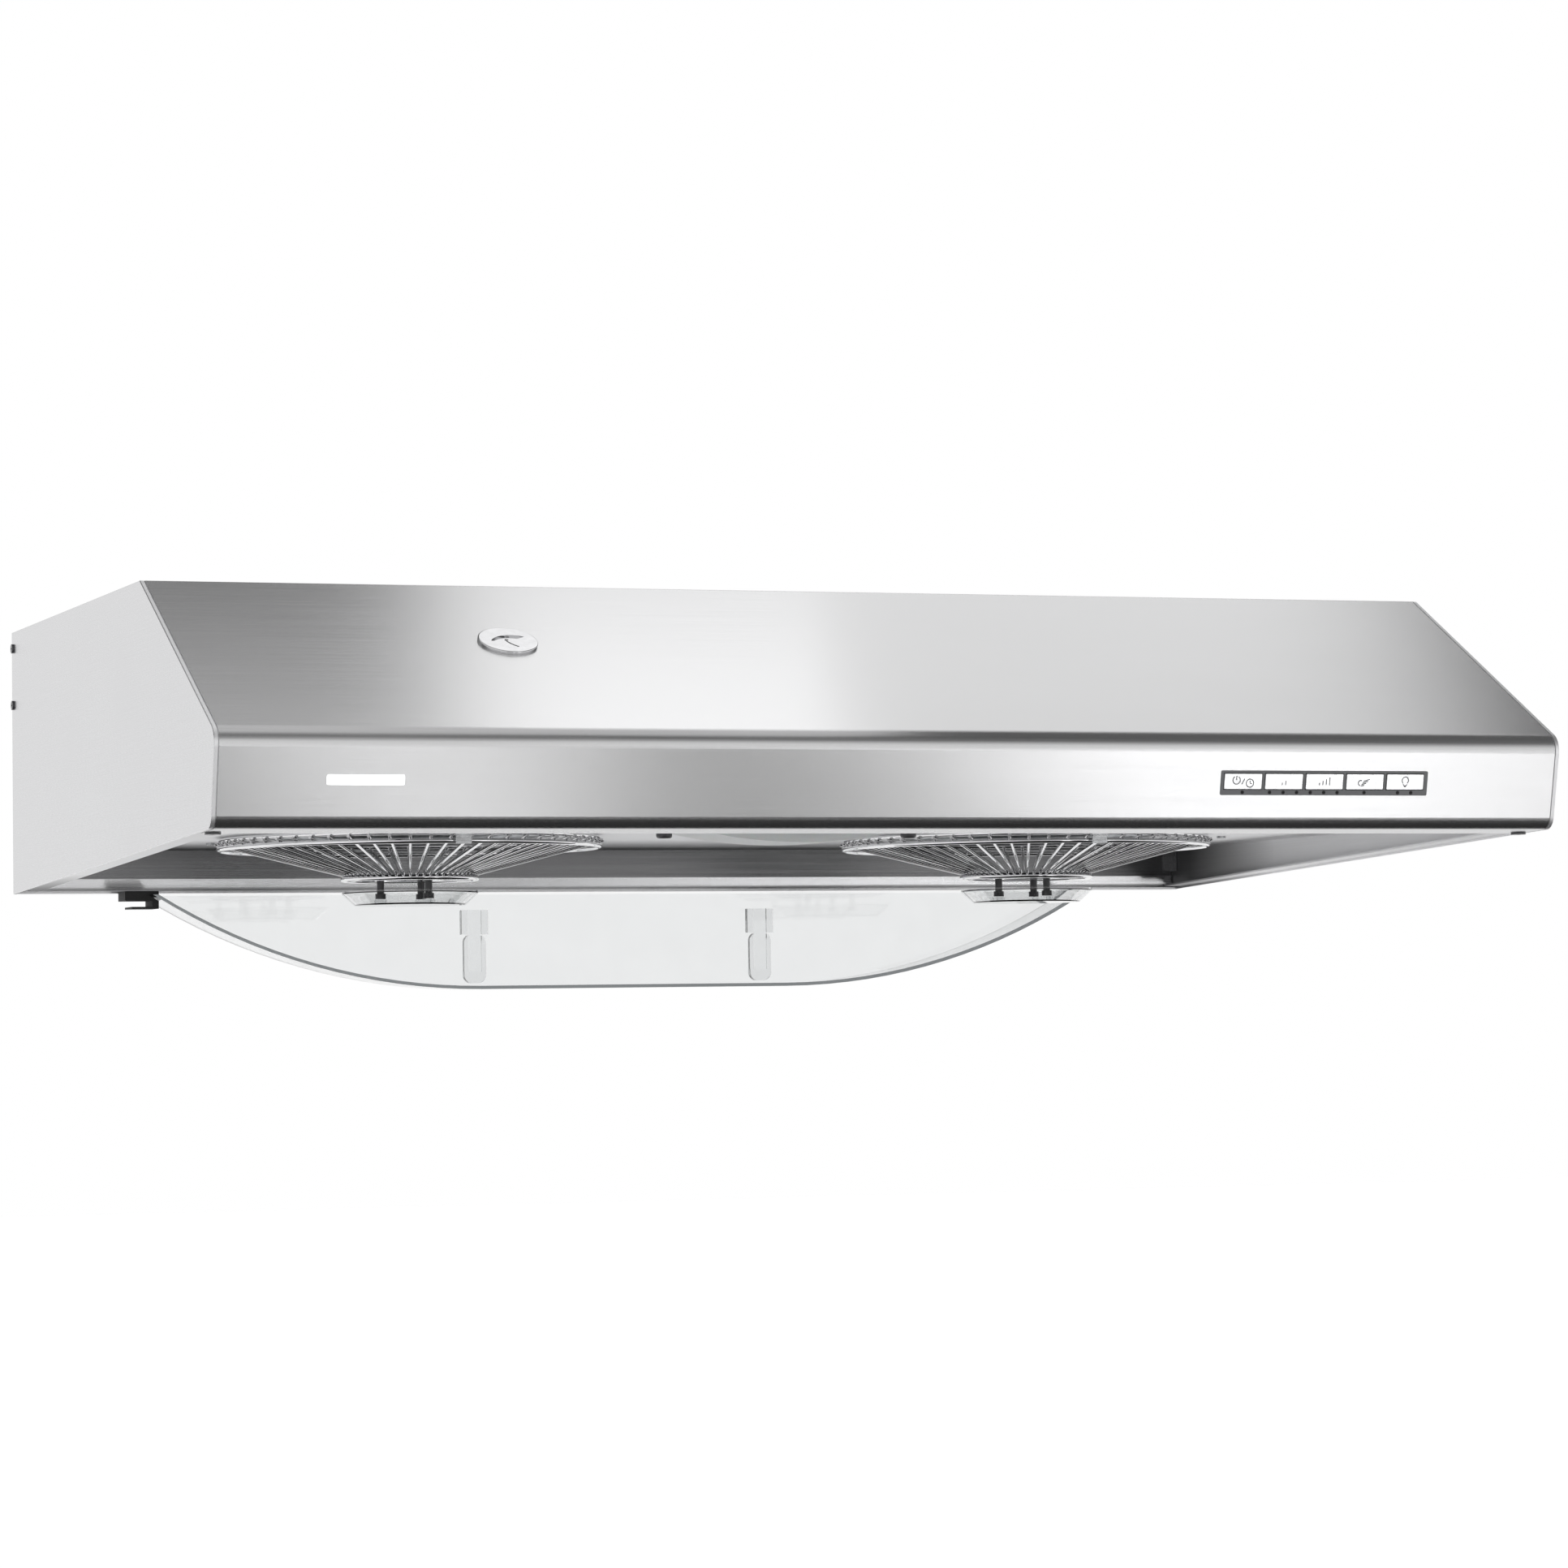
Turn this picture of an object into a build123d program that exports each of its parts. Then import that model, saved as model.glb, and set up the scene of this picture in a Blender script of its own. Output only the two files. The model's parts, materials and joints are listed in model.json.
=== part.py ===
from build123d import *
import os
from math import acos, cos, degrees, hypot, radians, sin, tan

# Under-cabinet range hood. Millimetres. +X right, +Y towards the wall, +Z up.
# The origin is the middle of the flat top, on its upper face.

# ---------------------------------------------------------------- driving dimensions
WIDTH = 756
DEPTH = 533
TOP_DEPTH = 360
HEIGHT = 157
SHEET = 1.0
SLOPE_DROP = 91
FASCIA_DROP = 48.4
FASCIA_LEAN = 10.7
LIP = 34
TOP_BEND, NOSE_BEND, CHIN_BEND = 2.5, 10, 8

RIM = 2.2  # width of the folded rim of a side panel, seen from the front
SEAM = 0.6  # gap between a side panel's rim and the front panel
FLANGE = 13  # width of the side panels' inturned flange
NEST = 0.02  # play between nested sheets

DECK_Z = -131  # underside of the fan deck
FAN_X, FAN_Y = 190, -32
DECK_HOLE_R = 86

DUCT_Y = 90
COLLAR_R = 75.4
COLLAR_HEIGHT = 12
DUCT_HOLE_R = 76.4

SCREW_R, SCREW_HEAD_R, SCREW_HEAD_H = 1.9, 2.75, 1.2
WIDE_HEAD_R = 4.2  # head of the two front screws
SCREW_HOLE_R = 2.0
CROSS, CROSS_DEPTH = (3.2, 0.6), 0.6  # cross recess of a screw head
CUT = 8  # depth of a cut that goes right through sheet metal

# ---------------------------------------------------------------- derived geometry
HALF = WIDTH / 2
BACK_Y = TOP_DEPTH / 2
TOP_FRONT = (-BACK_Y, 0)
NOSE = (BACK_Y - DEPTH, -SLOPE_DROP)
CHIN = (NOSE[0] + FASCIA_LEAN, NOSE[1] - FASCIA_DROP)
HEEL = (BACK_Y, -HEIGHT)

slope_run = hypot(NOSE[0] - TOP_FRONT[0], NOSE[1] - TOP_FRONT[1])
slope_y = (NOSE[0] - TOP_FRONT[0]) / slope_run
slope_z = (NOSE[1] - TOP_FRONT[1]) / slope_run
fascia_run = hypot(FASCIA_LEAN, FASCIA_DROP)
fascia_y = FASCIA_LEAN / fascia_run
fascia_z = -FASCIA_DROP / fascia_run
base_run = hypot(HEEL[0] - CHIN[0], HEEL[1] - CHIN[1])
base_y = (HEEL[0] - CHIN[0]) / base_run
base_z = (HEEL[1] - CHIN[1]) / base_run
LIP_END = (CHIN[0] + LIP * base_y, CHIN[1] + LIP * base_z)
PANEL_HALF = HALF - RIM - SEAM
PANEL_BACK = BACK_Y - SHEET - NEST


def slope_plane(x, down):
    """Plane on the slope's outer face, its normal pointing out, `down` mm below the top bend."""
    origin = (x, TOP_FRONT[0] + down * slope_y, TOP_FRONT[1] + down * slope_z)
    return Plane(origin=origin, x_dir=(1, 0, 0), z_dir=(0, slope_z, -slope_y))


def fascia_plane(x, down, out=0.0):
    """Plane on the fascia's outer face, or `out` mm in front of it."""
    normal = (0, fascia_z, -fascia_y)
    y = NOSE[0] + down * fascia_y + out * normal[1]
    z = NOSE[1] + down * fascia_z + out * normal[2]
    return Plane(origin=(x, y, z), x_dir=(1, 0, 0), z_dir=normal)


def base_plane(x, back):
    """Plane on the bottom edge line, its normal pointing down, `back` mm behind the chin."""
    origin = (x, CHIN[0] + back * base_y, CHIN[1] + back * base_z)
    return Plane(origin=origin, x_dir=(1, 0, 0), z_dir=(0, base_z, -base_y))


def level(z, x=0.0, y=0.0):
    """Horizontal plane at height z with its origin over (x, y)."""
    return Plane(origin=(x, y, z))


def upright(x, y, z):
    """Upright plane through a point, its normal pointing to the front."""
    return Plane(origin=(x, y, z), x_dir=(1, 0, 0), z_dir=(0, -1, 0))


def save(piece, name):
    piece.part.label = name
    export_step(piece.part, f"parts/{name}.step")


def rail(x, width, outer, inner=None):
    """The hood's side outline, moved in by `outer`, as a plate; with `inner`, only the band between."""
    with BuildSketch(Plane.YZ.offset(x)) as profile:
        with BuildLine():
            bent = FilletPolyline(
                (BACK_Y, 0), TOP_FRONT, NOSE, CHIN, HEEL, radius=(TOP_BEND, NOSE_BEND, CHIN_BEND)
            )
            Line(bent @ 1, bent @ 0)
        make_face()
        if outer:
            offset(amount=-outer, kind=Kind.INTERSECTION, mode=Mode.REPLACE)
        if inner:
            offset(amount=outer - inner, kind=Kind.INTERSECTION, mode=Mode.SUBTRACT)
    extrude(profile.sketch, amount=width)


def block(x, y, z, mode=Mode.ADD):
    """A box from its low and high limits along each axis, in the part being built."""
    with BuildSketch(level(z[0], (x[0] + x[1]) / 2, (y[0] + y[1]) / 2)) as base:
        Rectangle(x[1] - x[0], y[1] - y[0])
    extrude(base.sketch, amount=z[1] - z[0], mode=mode)


def disc(plane, radius, height, mode=Mode.ADD):
    """A round bar standing on a plane, in the part being built."""
    with BuildSketch(plane) as base:
        Circle(radius)
    extrude(base.sketch, amount=height, mode=mode)


def pan_screw(plane, length, head_radius=SCREW_HEAD_R):
    """A pan-head screw whose head stands on the plane and whose shank goes down through it."""
    disc(plane, head_radius, SCREW_HEAD_H)
    disc(plane, SCREW_R, -length)
    with BuildSketch(plane.offset(SCREW_HEAD_H - CROSS_DEPTH)) as cross:
        Rectangle(*CROSS)
        Rectangle(*CROSS, rotation=90)
    extrude(cross.sketch, amount=2 * CROSS_DEPTH, mode=Mode.SUBTRACT)


def through(plane, radius):
    """A round hole through the sheet that the plane lies on, in the part being built."""
    disc(plane.offset(-CUT / 2), radius, CUT, Mode.SUBTRACT)


def corner_radii(points):
    """Bend radii for a routed tube: 0.45 of each corner's shorter run over tan(turn / 2)."""
    radii = []
    for before, here, after in zip(points, points[1:], points[2:]):
        first = Vector(*here) - Vector(*before)
        second = Vector(*after) - Vector(*here)
        half_turn = radians(first.get_angle(second) / 2)
        radii.append(0.45 * min(first.length, second.length) / tan(half_turn))
    return radii


def tube(points, radius):
    """A round tube along straight runs joined by tangent arcs."""
    with BuildPart() as run:
        with BuildLine() as path:
            FilletPolyline(*points, radius=corner_radii(points))
        with BuildSketch(Plane(origin=path.line @ 0, z_dir=path.line % 0)):
            Circle(radius)
        sweep()
    return run.part


os.makedirs("parts", exist_ok=True)

# ---------------------------------------------------------------- casing
CABINET_HOLES_X, CABINET_HOLES_Y, CABINET_HOLE_R = 640, 260, 3.5
CAP_X, CAP_DOWN, CAP_HOLE_R = -194, 78, 14
CONTROL_X = 237
CONTROL_DOWN = 24.4
CUTOUT = (120.2, 12.5)
FRONT_SCREW_X, FRONT_SCREW_BACK = 370.5, 27

with BuildPart() as front_and_top_panel:
    with BuildSketch(Plane.YZ.offset(-PANEL_HALF)):
        with BuildLine():
            FilletPolyline(
                (PANEL_BACK, 0), TOP_FRONT, NOSE, CHIN, LIP_END, radius=(TOP_BEND, NOSE_BEND, CHIN_BEND)
            )
            offset(amount=SHEET, side=Side.LEFT)
        make_face()
    extrude(amount=2 * PANEL_HALF)
    through(level(0, 0, DUCT_Y), DUCT_HOLE_R)
    with BuildSketch(level(-CUT / 2)):
        with GridLocations(CABINET_HOLES_X, CABINET_HOLES_Y, 2, 2):
            Circle(CABINET_HOLE_R)
    extrude(amount=CUT, mode=Mode.SUBTRACT)
    through(slope_plane(CAP_X, CAP_DOWN), CAP_HOLE_R)
    with BuildSketch(fascia_plane(CONTROL_X, CONTROL_DOWN, -CUT / 2)):
        Rectangle(*CUTOUT)
    extrude(amount=CUT, mode=Mode.SUBTRACT)
    for x in (-FRONT_SCREW_X, FRONT_SCREW_X):
        through(base_plane(x, FRONT_SCREW_BACK), SCREW_HOLE_R)
save(front_and_top_panel, "front_and_top_panel")

BACK_SCREW_Y = BACK_Y - 5
BACK_SCREW_Z = (-10, -44)
SIDE_FLANGE_BACK = 160
EDGE_ROUND = 0.6


def side_screw_planes(side):
    """Planes on a side panel's outer face, one at each rear screw."""
    places = [(side * HALF, BACK_SCREW_Y, z) for z in BACK_SCREW_Z]
    return [Plane(origin=place, x_dir=(0, 1, 0), z_dir=(side, 0, 0)) for place in places]


for hand, side in (("left", -1), ("right", 1)):
    with BuildPart() as side_panel:
        rail(side * HALF, -side * SHEET, 0)
        outer_edges = side_panel.faces().sort_by(Axis.X)[0 if side < 0 else -1].edges()
        fillet(outer_edges, EDGE_ROUND)
        rail(side * (HALF - SHEET), -side * (RIM - SHEET), 0, SHEET)
        rail(side * (HALF - SHEET), -side * FLANGE, SHEET + NEST, 2 * SHEET + NEST)
        inner = (HALF - 2 * FLANGE, HALF - SHEET)
        cut_x = inner if side > 0 else (-inner[1], -inner[0])
        block(cut_x, (SIDE_FLANGE_BACK, BACK_Y + 1), (-HEIGHT - 1, 1), Mode.SUBTRACT)
        for plane in side_screw_planes(side):
            through(plane, SCREW_HOLE_R)
        through(base_plane(side * FRONT_SCREW_X, FRONT_SCREW_BACK), SCREW_HOLE_R)
    save(side_panel, f"{hand}_side_panel")

BACK_HALF = HALF - SHEET - NEST
BACK_INNER = BACK_Y - SHEET
BACK_FLANGE = 12
BACK_FLANGE_Z = (-145.2, -4)
HEM_Z, HEM_DEPTH = (-154.7, -148.2), (0.8, 1.7)  # depth in front of the wall at its foot and its top
FOOT, FOOT_THICKNESS = 10, 1.4
WALL_HOLES_X, WALL_HOLE_Z, WALL_HOLE_R = 500, -30, 3.5
GLAND_X, GLAND_Z, GLAND_HOLE_R = 310, -45, 11

with BuildPart() as back_panel:
    block((-BACK_HALF, BACK_HALF), (BACK_INNER, BACK_Y), (-HEIGHT, 0))
    top_flange_half = HALF - FLANGE - 2 * SHEET
    top_flange_z = (-2 * SHEET - NEST, -SHEET - NEST)
    block((-top_flange_half, top_flange_half), (BACK_Y - BACK_FLANGE, BACK_INNER), top_flange_z)
    through(level(0, 0, DUCT_Y), DUCT_HOLE_R + 4)
    for side in (-1, 1):
        x = sorted((side * BACK_HALF, side * (BACK_HALF - SHEET)))
        block(x, (BACK_Y - BACK_FLANGE, BACK_INNER), BACK_FLANGE_Z)
        for plane in side_screw_planes(side):
            through(plane, SCREW_HOLE_R)
    hem_half = BACK_HALF - SHEET
    with BuildSketch(Plane.YZ.offset(-hem_half)) as hem:
        Polygon(
            (BACK_INNER, HEM_Z[0]), (BACK_INNER, HEM_Z[1]),
            (BACK_INNER - HEM_DEPTH[1], HEM_Z[1]), (BACK_INNER - HEM_DEPTH[0], HEM_Z[0]), align=None,
        )
    extrude(hem.sketch, amount=2 * hem_half)
    block((-BACK_HALF, BACK_HALF), (BACK_Y - FOOT, BACK_INNER), (-HEIGHT, -HEIGHT + FOOT_THICKNESS))
    for side in (-1, 1):
        through(upright(side * WALL_HOLES_X / 2, BACK_Y, WALL_HOLE_Z), WALL_HOLE_R)
    through(upright(GLAND_X, BACK_Y, GLAND_Z), GLAND_HOLE_R)
save(back_panel, "back_panel")

LAMP_Y, LAMP_SIZE, LAMP_SCREW_X = -143, (128, 50), 73
DECK_TOP = DECK_Z + SHEET
DECK_FRONT = -340
DECK_SIDE_FLANGE, DECK_FRONT_FLANGE = 14, 10
LAMP_MARGIN, LAMP_OPENING_ROUND = (10, 8), 5  # how much smaller the lamp's opening is than its cover
VOLUTE_STEP = 12  # growth of the volute's radius, per quarter turn
VOLUTE_R = 104
SCROLL_FLANGE = 8


def on_flange(centre_u, centre_v, radius, angle):
    """A point on the right-hand scroll's foot flange, from one of its arcs, about the fan's axis."""
    reach = radius + SCROLL_FLANGE / 2
    return (centre_u + reach * cos(radians(angle)), centre_v + reach * sin(radians(angle)))


half_step = VOLUTE_STEP / 2
scroll_screw_places = [
    on_flange(half_step, half_step, VOLUTE_R + VOLUTE_STEP, -75),
    on_flange(half_step, half_step, VOLUTE_R + VOLUTE_STEP, -40),
    on_flange(half_step, half_step, VOLUTE_R + VOLUTE_STEP, -5),
    on_flange(-half_step, half_step, VOLUTE_R + 2 * VOLUTE_STEP, 40),
    on_flange(-half_step, half_step, VOLUTE_R + 2 * VOLUTE_STEP, 80),
]
blower_screw_places = [(side * (FAN_X + u), FAN_Y + v) for side in (-1, 1) for u, v in scroll_screw_places]

lamp_opening = (LAMP_SIZE[0] - LAMP_MARGIN[0], LAMP_SIZE[1] - LAMP_MARGIN[1])

with BuildPart() as fan_deck:
    block((-BACK_HALF, BACK_HALF), (DECK_FRONT, SIDE_FLANGE_BACK), (DECK_Z, DECK_TOP))
    block((-hem_half + NEST, hem_half - NEST), (SIDE_FLANGE_BACK, BACK_INNER - NEST), (DECK_Z, DECK_TOP))
    for side in (-1, 1):
        x = sorted((side * BACK_HALF, side * (BACK_HALF - SHEET)))
        block(x, (DECK_FRONT, SIDE_FLANGE_BACK), (DECK_TOP, DECK_TOP + DECK_SIDE_FLANGE))
    block((-hem_half, hem_half), (DECK_FRONT, DECK_FRONT + SHEET), (DECK_TOP, DECK_TOP + DECK_FRONT_FLANGE))
    with BuildSketch(level(DECK_Z - CUT / 2)):
        with Locations((-FAN_X, FAN_Y), (FAN_X, FAN_Y)):
            Circle(DECK_HOLE_R)
        with Locations((0, LAMP_Y)):
            RectangleRounded(*lamp_opening, LAMP_OPENING_ROUND)
        with Locations((-LAMP_SCREW_X, LAMP_Y), (LAMP_SCREW_X, LAMP_Y), *blower_screw_places):
            Circle(SCREW_HOLE_R)
    extrude(amount=CUT, mode=Mode.SUBTRACT)
save(fan_deck, "fan_deck")

# ---------------------------------------------------------------- blowers
IMPELLER_R, IMPELLER_BOTTOM, IMPELLER_TOP = 90, -124, -58.5
BLADE_RING_R, BLADE_RING_H = 83, 3
BLADES, BLADE_LEAN, BLADE_CIRCLE, BLADE_SIZE = 40, 28, 84, (13, 1)
IMPELLER_DISC, HUB_R, HUB_H = 1.5, 12, 25
SHAFT_R, SHAFT_FIT, SHAFT_PLAY = 4, 0.01, 0.05
SHAFT_TOP, SHAFT_BOTTOM, SHAFT_CHAMFER = -16, -92, 0.6
NUT_R, NUT_H = 6.5, 6.5  # the nut's radius is measured to its flats
SCROLL_TOP, SCROLL_SHEET = -48, 0.8
TONGUE_V, TONGUE_ROUND = 48, 6
OUTLET_X = 84  # plane where both scrolls meet the outlet plenum
OUTLET_WINDOW_Y = (
    FAN_Y + TONGUE_V + SCROLL_SHEET,
    FAN_Y + VOLUTE_R + 2.5 * VOLUTE_STEP - SCROLL_SHEET,
)
MOTOR_R, MOTOR_TOP, MOTOR_ROUND = 46, -8, 5
MOTOR_BOSS_R, MOTOR_BOSS_BOTTOM, BOSS_HOLE_PLAY = 13, -53, 4
MOTOR_SCREWS, MOTOR_SCREW_CIRCLE, MOTOR_SCREW_DEPTH = 3, 38, 6
VENTS, VENT_SIZE, VENT_Z, VENT_DEPTH = 12, (3, 8), -22, 9
NOZZLE_Z, NOZZLE_R = -90, 3


def volute_face(z):
    """Plan of the right-hand scroll about its fan's axis, its outlet facing left."""
    last_r = VOLUTE_R + 2 * VOLUTE_STEP
    outlet = OUTLET_X - FAN_X
    left = half_step - VOLUTE_R
    roof = half_step + last_r
    with BuildSketch(level(z, FAN_X, FAN_Y)) as plan:
        with BuildLine():
            Line((outlet, roof), (-half_step, roof))
            CenterArc((-half_step, half_step), last_r, 0, 90)
            CenterArc((half_step, half_step), VOLUTE_R + VOLUTE_STEP, -90, 90)
            CenterArc((half_step, -half_step), VOLUTE_R, 180, 90)
            Line((left, -half_step), (left, TONGUE_V - TONGUE_ROUND))
            CenterArc((left - TONGUE_ROUND, TONGUE_V - TONGUE_ROUND), TONGUE_ROUND, 0, 90)
            Polyline((left - TONGUE_ROUND, TONGUE_V), (outlet, TONGUE_V), (outlet, roof))
        make_face()
    return plan.sketch


def to_hand(hand):
    """Mirror the right-hand piece being built when it is wanted for the left."""
    if hand == "left":
        mirror(about=Plane.YZ, mode=Mode.REPLACE)


scroll_height = SCROLL_TOP - DECK_TOP
for hand, side in (("left", -1), ("right", 1)):
    with BuildPart() as scroll_housing:
        plan = volute_face(DECK_TOP)
        extrude(plan, amount=scroll_height)
        extrude(offset(plan, SCROLL_FLANGE, mode=Mode.PRIVATE), amount=SCROLL_SHEET)
        extrude(offset(plan, -SCROLL_SHEET, mode=Mode.PRIVATE), amount=scroll_height, mode=Mode.SUBTRACT)
        block((0, OUTLET_X), (-DEPTH, DEPTH), (DECK_TOP, 0), Mode.SUBTRACT)
        block((OUTLET_X, OUTLET_X + 2), OUTLET_WINDOW_Y, (DECK_TOP, SCROLL_TOP), Mode.SUBTRACT)
        extrude(volute_face(SCROLL_TOP), amount=SCROLL_SHEET)
        through(level(SCROLL_TOP, FAN_X, FAN_Y), MOTOR_BOSS_R + BOSS_HOLE_PLAY)
        with BuildSketch(level(DECK_TOP - SHEET, FAN_X, FAN_Y)):
            with Locations(*scroll_screw_places):
                Circle(SCREW_HOLE_R)
        extrude(amount=CUT, mode=Mode.SUBTRACT)
        with BuildSketch(level(SCROLL_TOP - SHEET, FAN_X, FAN_Y)):
            with PolarLocations(MOTOR_SCREW_CIRCLE, MOTOR_SCREWS):
                Circle(SCREW_HOLE_R)
        extrude(amount=CUT, mode=Mode.SUBTRACT)
        through(upright(FAN_X, FAN_Y - VOLUTE_R - half_step, NOZZLE_Z), NOZZLE_R + 0.1)
        to_hand(hand)
    save(scroll_housing, f"{hand}_scroll_housing")

    fan_axis = level(0, side * FAN_X, FAN_Y)
    with BuildPart() as inlet_ring:
        with BuildSketch(upright(side * FAN_X, FAN_Y, 0)):
            with BuildLine():
                Polyline((86, DECK_TOP), (96.5, DECK_TOP), (96.5, DECK_TOP + 1), (87, DECK_TOP + 1))
                ThreePointArc((87, DECK_TOP + 1), (83, DECK_TOP + 2.7), (81, DECK_TOP + 6))
                Polyline((81, DECK_TOP + 6), (81, DECK_TOP + 9), (80, DECK_TOP + 9), (80, DECK_TOP + 6))
                ThreePointArc((80, DECK_TOP + 6), (82.2, DECK_TOP + 2), (86, DECK_TOP))
            make_face()
        revolve(axis=Axis((side * FAN_X, FAN_Y, 0), (0, 0, 1)))
    save(inlet_ring, f"{hand}_inlet_ring")

    with BuildPart() as motor:
        disc(fan_axis.offset(SCROLL_TOP + SCROLL_SHEET), MOTOR_R, MOTOR_TOP - SCROLL_TOP - SCROLL_SHEET)
        fillet(motor.edges().group_by(Axis.Z)[-1], MOTOR_ROUND)
        boss_foot = fan_axis.offset(MOTOR_BOSS_BOTTOM)
        disc(boss_foot, MOTOR_BOSS_R, SCROLL_TOP - MOTOR_BOSS_BOTTOM + 2)
        disc(boss_foot, SHAFT_R + SHAFT_PLAY, SHAFT_TOP + 1 - MOTOR_BOSS_BOTTOM, Mode.SUBTRACT)
        with BuildSketch(fan_axis.offset(SCROLL_TOP + SCROLL_SHEET)):
            with PolarLocations(MOTOR_SCREW_CIRCLE, MOTOR_SCREWS, start_angle=0 if side > 0 else 180):
                Circle(SCREW_HOLE_R)
        extrude(amount=MOTOR_SCREW_DEPTH, mode=Mode.SUBTRACT)
        with BuildSketch(fan_axis.offset(VENT_Z)):
            with PolarLocations(MOTOR_R, VENTS):
                Rectangle(*VENT_SIZE)
        extrude(amount=VENT_DEPTH, mode=Mode.SUBTRACT)
    save(motor, f"{hand}_motor")

    with BuildPart() as impeller:
        disc(fan_axis.offset(IMPELLER_TOP), IMPELLER_R, -IMPELLER_DISC)
        disc(fan_axis.offset(IMPELLER_TOP - 1), HUB_R, -HUB_H)
        with BuildSketch(fan_axis.offset(IMPELLER_BOTTOM)):
            Circle(IMPELLER_R)
            Circle(BLADE_RING_R, mode=Mode.SUBTRACT)
        extrude(amount=BLADE_RING_H)
        with BuildSketch(fan_axis.offset(IMPELLER_BOTTOM + BLADE_RING_H)):
            with PolarLocations(BLADE_CIRCLE, BLADES):
                Rectangle(*BLADE_SIZE, rotation=side * BLADE_LEAN)
        extrude(amount=IMPELLER_TOP - IMPELLER_DISC - IMPELLER_BOTTOM - BLADE_RING_H)
        disc(fan_axis.offset(IMPELLER_TOP + 1), SHAFT_R + SHAFT_FIT, -HUB_H - 3, Mode.SUBTRACT)
    save(impeller, f"{hand}_impeller")

    with BuildPart() as motor_shaft:
        disc(fan_axis.offset(SHAFT_BOTTOM), SHAFT_R, SHAFT_TOP - SHAFT_BOTTOM)
        chamfer(motor_shaft.edges().group_by(Axis.Z)[0], SHAFT_CHAMFER)
    save(motor_shaft, f"{hand}_motor_shaft")

    with BuildPart() as impeller_nut:
        with BuildSketch(fan_axis.offset(IMPELLER_TOP - 1 - HUB_H - NUT_H)):
            RegularPolygon(NUT_R, 6, major_radius=False)
            Circle(SHAFT_R + SHAFT_FIT, mode=Mode.SUBTRACT)
        extrude(amount=NUT_H)
    save(impeller_nut, f"{hand}_impeller_nut")

# ---------------------------------------------------------------- duct path
PLENUM_Y, PLENUM_TOP = (12, 168), -3
PLENUM_FLANGE = 10
plenum_half = OUTLET_X - NEST

with BuildPart() as outlet_plenum:
    block((-plenum_half, plenum_half), PLENUM_Y, (DECK_TOP, PLENUM_TOP))
    inner_half = plenum_half - SCROLL_SHEET
    inner_y = (PLENUM_Y[0] + SCROLL_SHEET, PLENUM_Y[1] - SCROLL_SHEET)
    block((-inner_half, inner_half), inner_y, (DECK_TOP, PLENUM_TOP), Mode.SUBTRACT)
    window_z = (DECK_TOP + SCROLL_SHEET, SCROLL_TOP)
    block((-OUTLET_X, OUTLET_X), OUTLET_WINDOW_Y, window_z, Mode.SUBTRACT)
    flange_y = (PLENUM_Y[0] - PLENUM_FLANGE, inner_y[0])
    block((-plenum_half, plenum_half), flange_y, (DECK_TOP, DECK_TOP + SCROLL_SHEET))
save(outlet_plenum, "outlet_plenum")

COLLAR_WALL, COLLAR_FLANGE_R = 0.9, 80
COLLAR_NECK_R, COLLAR_FOOT, COLLAR_STEP = 74.5, -12, 1
SPINDLE_HOLE_R = 1.6
DAMPER_Z, SPINDLE_R, DAMPER_R, DAMPER_SHEET = -4, 1.5, 73.2, 1.2
with BuildPart() as duct_collar:
    disc(level(-2 * SHEET - NEST, 0, DUCT_Y), COLLAR_FLANGE_R, SHEET)
    collar_foot = level(COLLAR_FOOT, 0, DUCT_Y)
    disc(collar_foot, COLLAR_NECK_R, COLLAR_STEP - COLLAR_FOOT)
    disc(level(COLLAR_STEP, 0, DUCT_Y), COLLAR_R, COLLAR_HEIGHT - COLLAR_STEP)
    disc(collar_foot, COLLAR_NECK_R - COLLAR_WALL, COLLAR_HEIGHT - COLLAR_FOOT, Mode.SUBTRACT)
    spindle_hole = upright(0, DUCT_Y + COLLAR_R, DAMPER_Z)
    disc(spindle_hole, SPINDLE_HOLE_R, 2 * COLLAR_R, Mode.SUBTRACT)
save(duct_collar, "duct_collar")

with BuildPart() as damper_spindle:
    disc(upright(0, DUCT_Y + COLLAR_R, DAMPER_Z), SPINDLE_R, 2 * COLLAR_R)
save(damper_spindle, "damper_spindle")

KNUCKLE_R, KNUCKLE_PLAY, KNUCKLE_WEB = 3, 0.1, 5
FLAP_START = 4.5  # how far a flap's straight edge stands off the spindle
KNUCKLES = {"left": ((-60, -36), (-12, 12), (36, 60)), "right": ((-34, -14), (14, 34))}
for hand, side in (("left", -1), ("right", 1)):
    with BuildPart() as damper_flap:
        flap_z = (DAMPER_Z - DAMPER_SHEET / 2, DAMPER_Z + DAMPER_SHEET / 2)
        with BuildSketch(level(flap_z[0], 0, DUCT_Y)):
            Circle(DAMPER_R)
            with Locations((-side * (DAMPER_R - FLAP_START), 0)):
                Rectangle(2 * DAMPER_R, 2 * DAMPER_R, mode=Mode.SUBTRACT)
        extrude(amount=DAMPER_SHEET)
        for start, end in KNUCKLES[hand]:
            block(sorted((0, side * KNUCKLE_WEB)), (DUCT_Y + start, DUCT_Y + end), flap_z)
            knuckle = upright(0, DUCT_Y + end, DAMPER_Z)
            disc(knuckle, KNUCKLE_R, end - start)
            disc(knuckle, SPINDLE_R + KNUCKLE_PLAY, end - start, Mode.SUBTRACT)
    save(damper_flap, f"{hand}_damper_flap")

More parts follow.
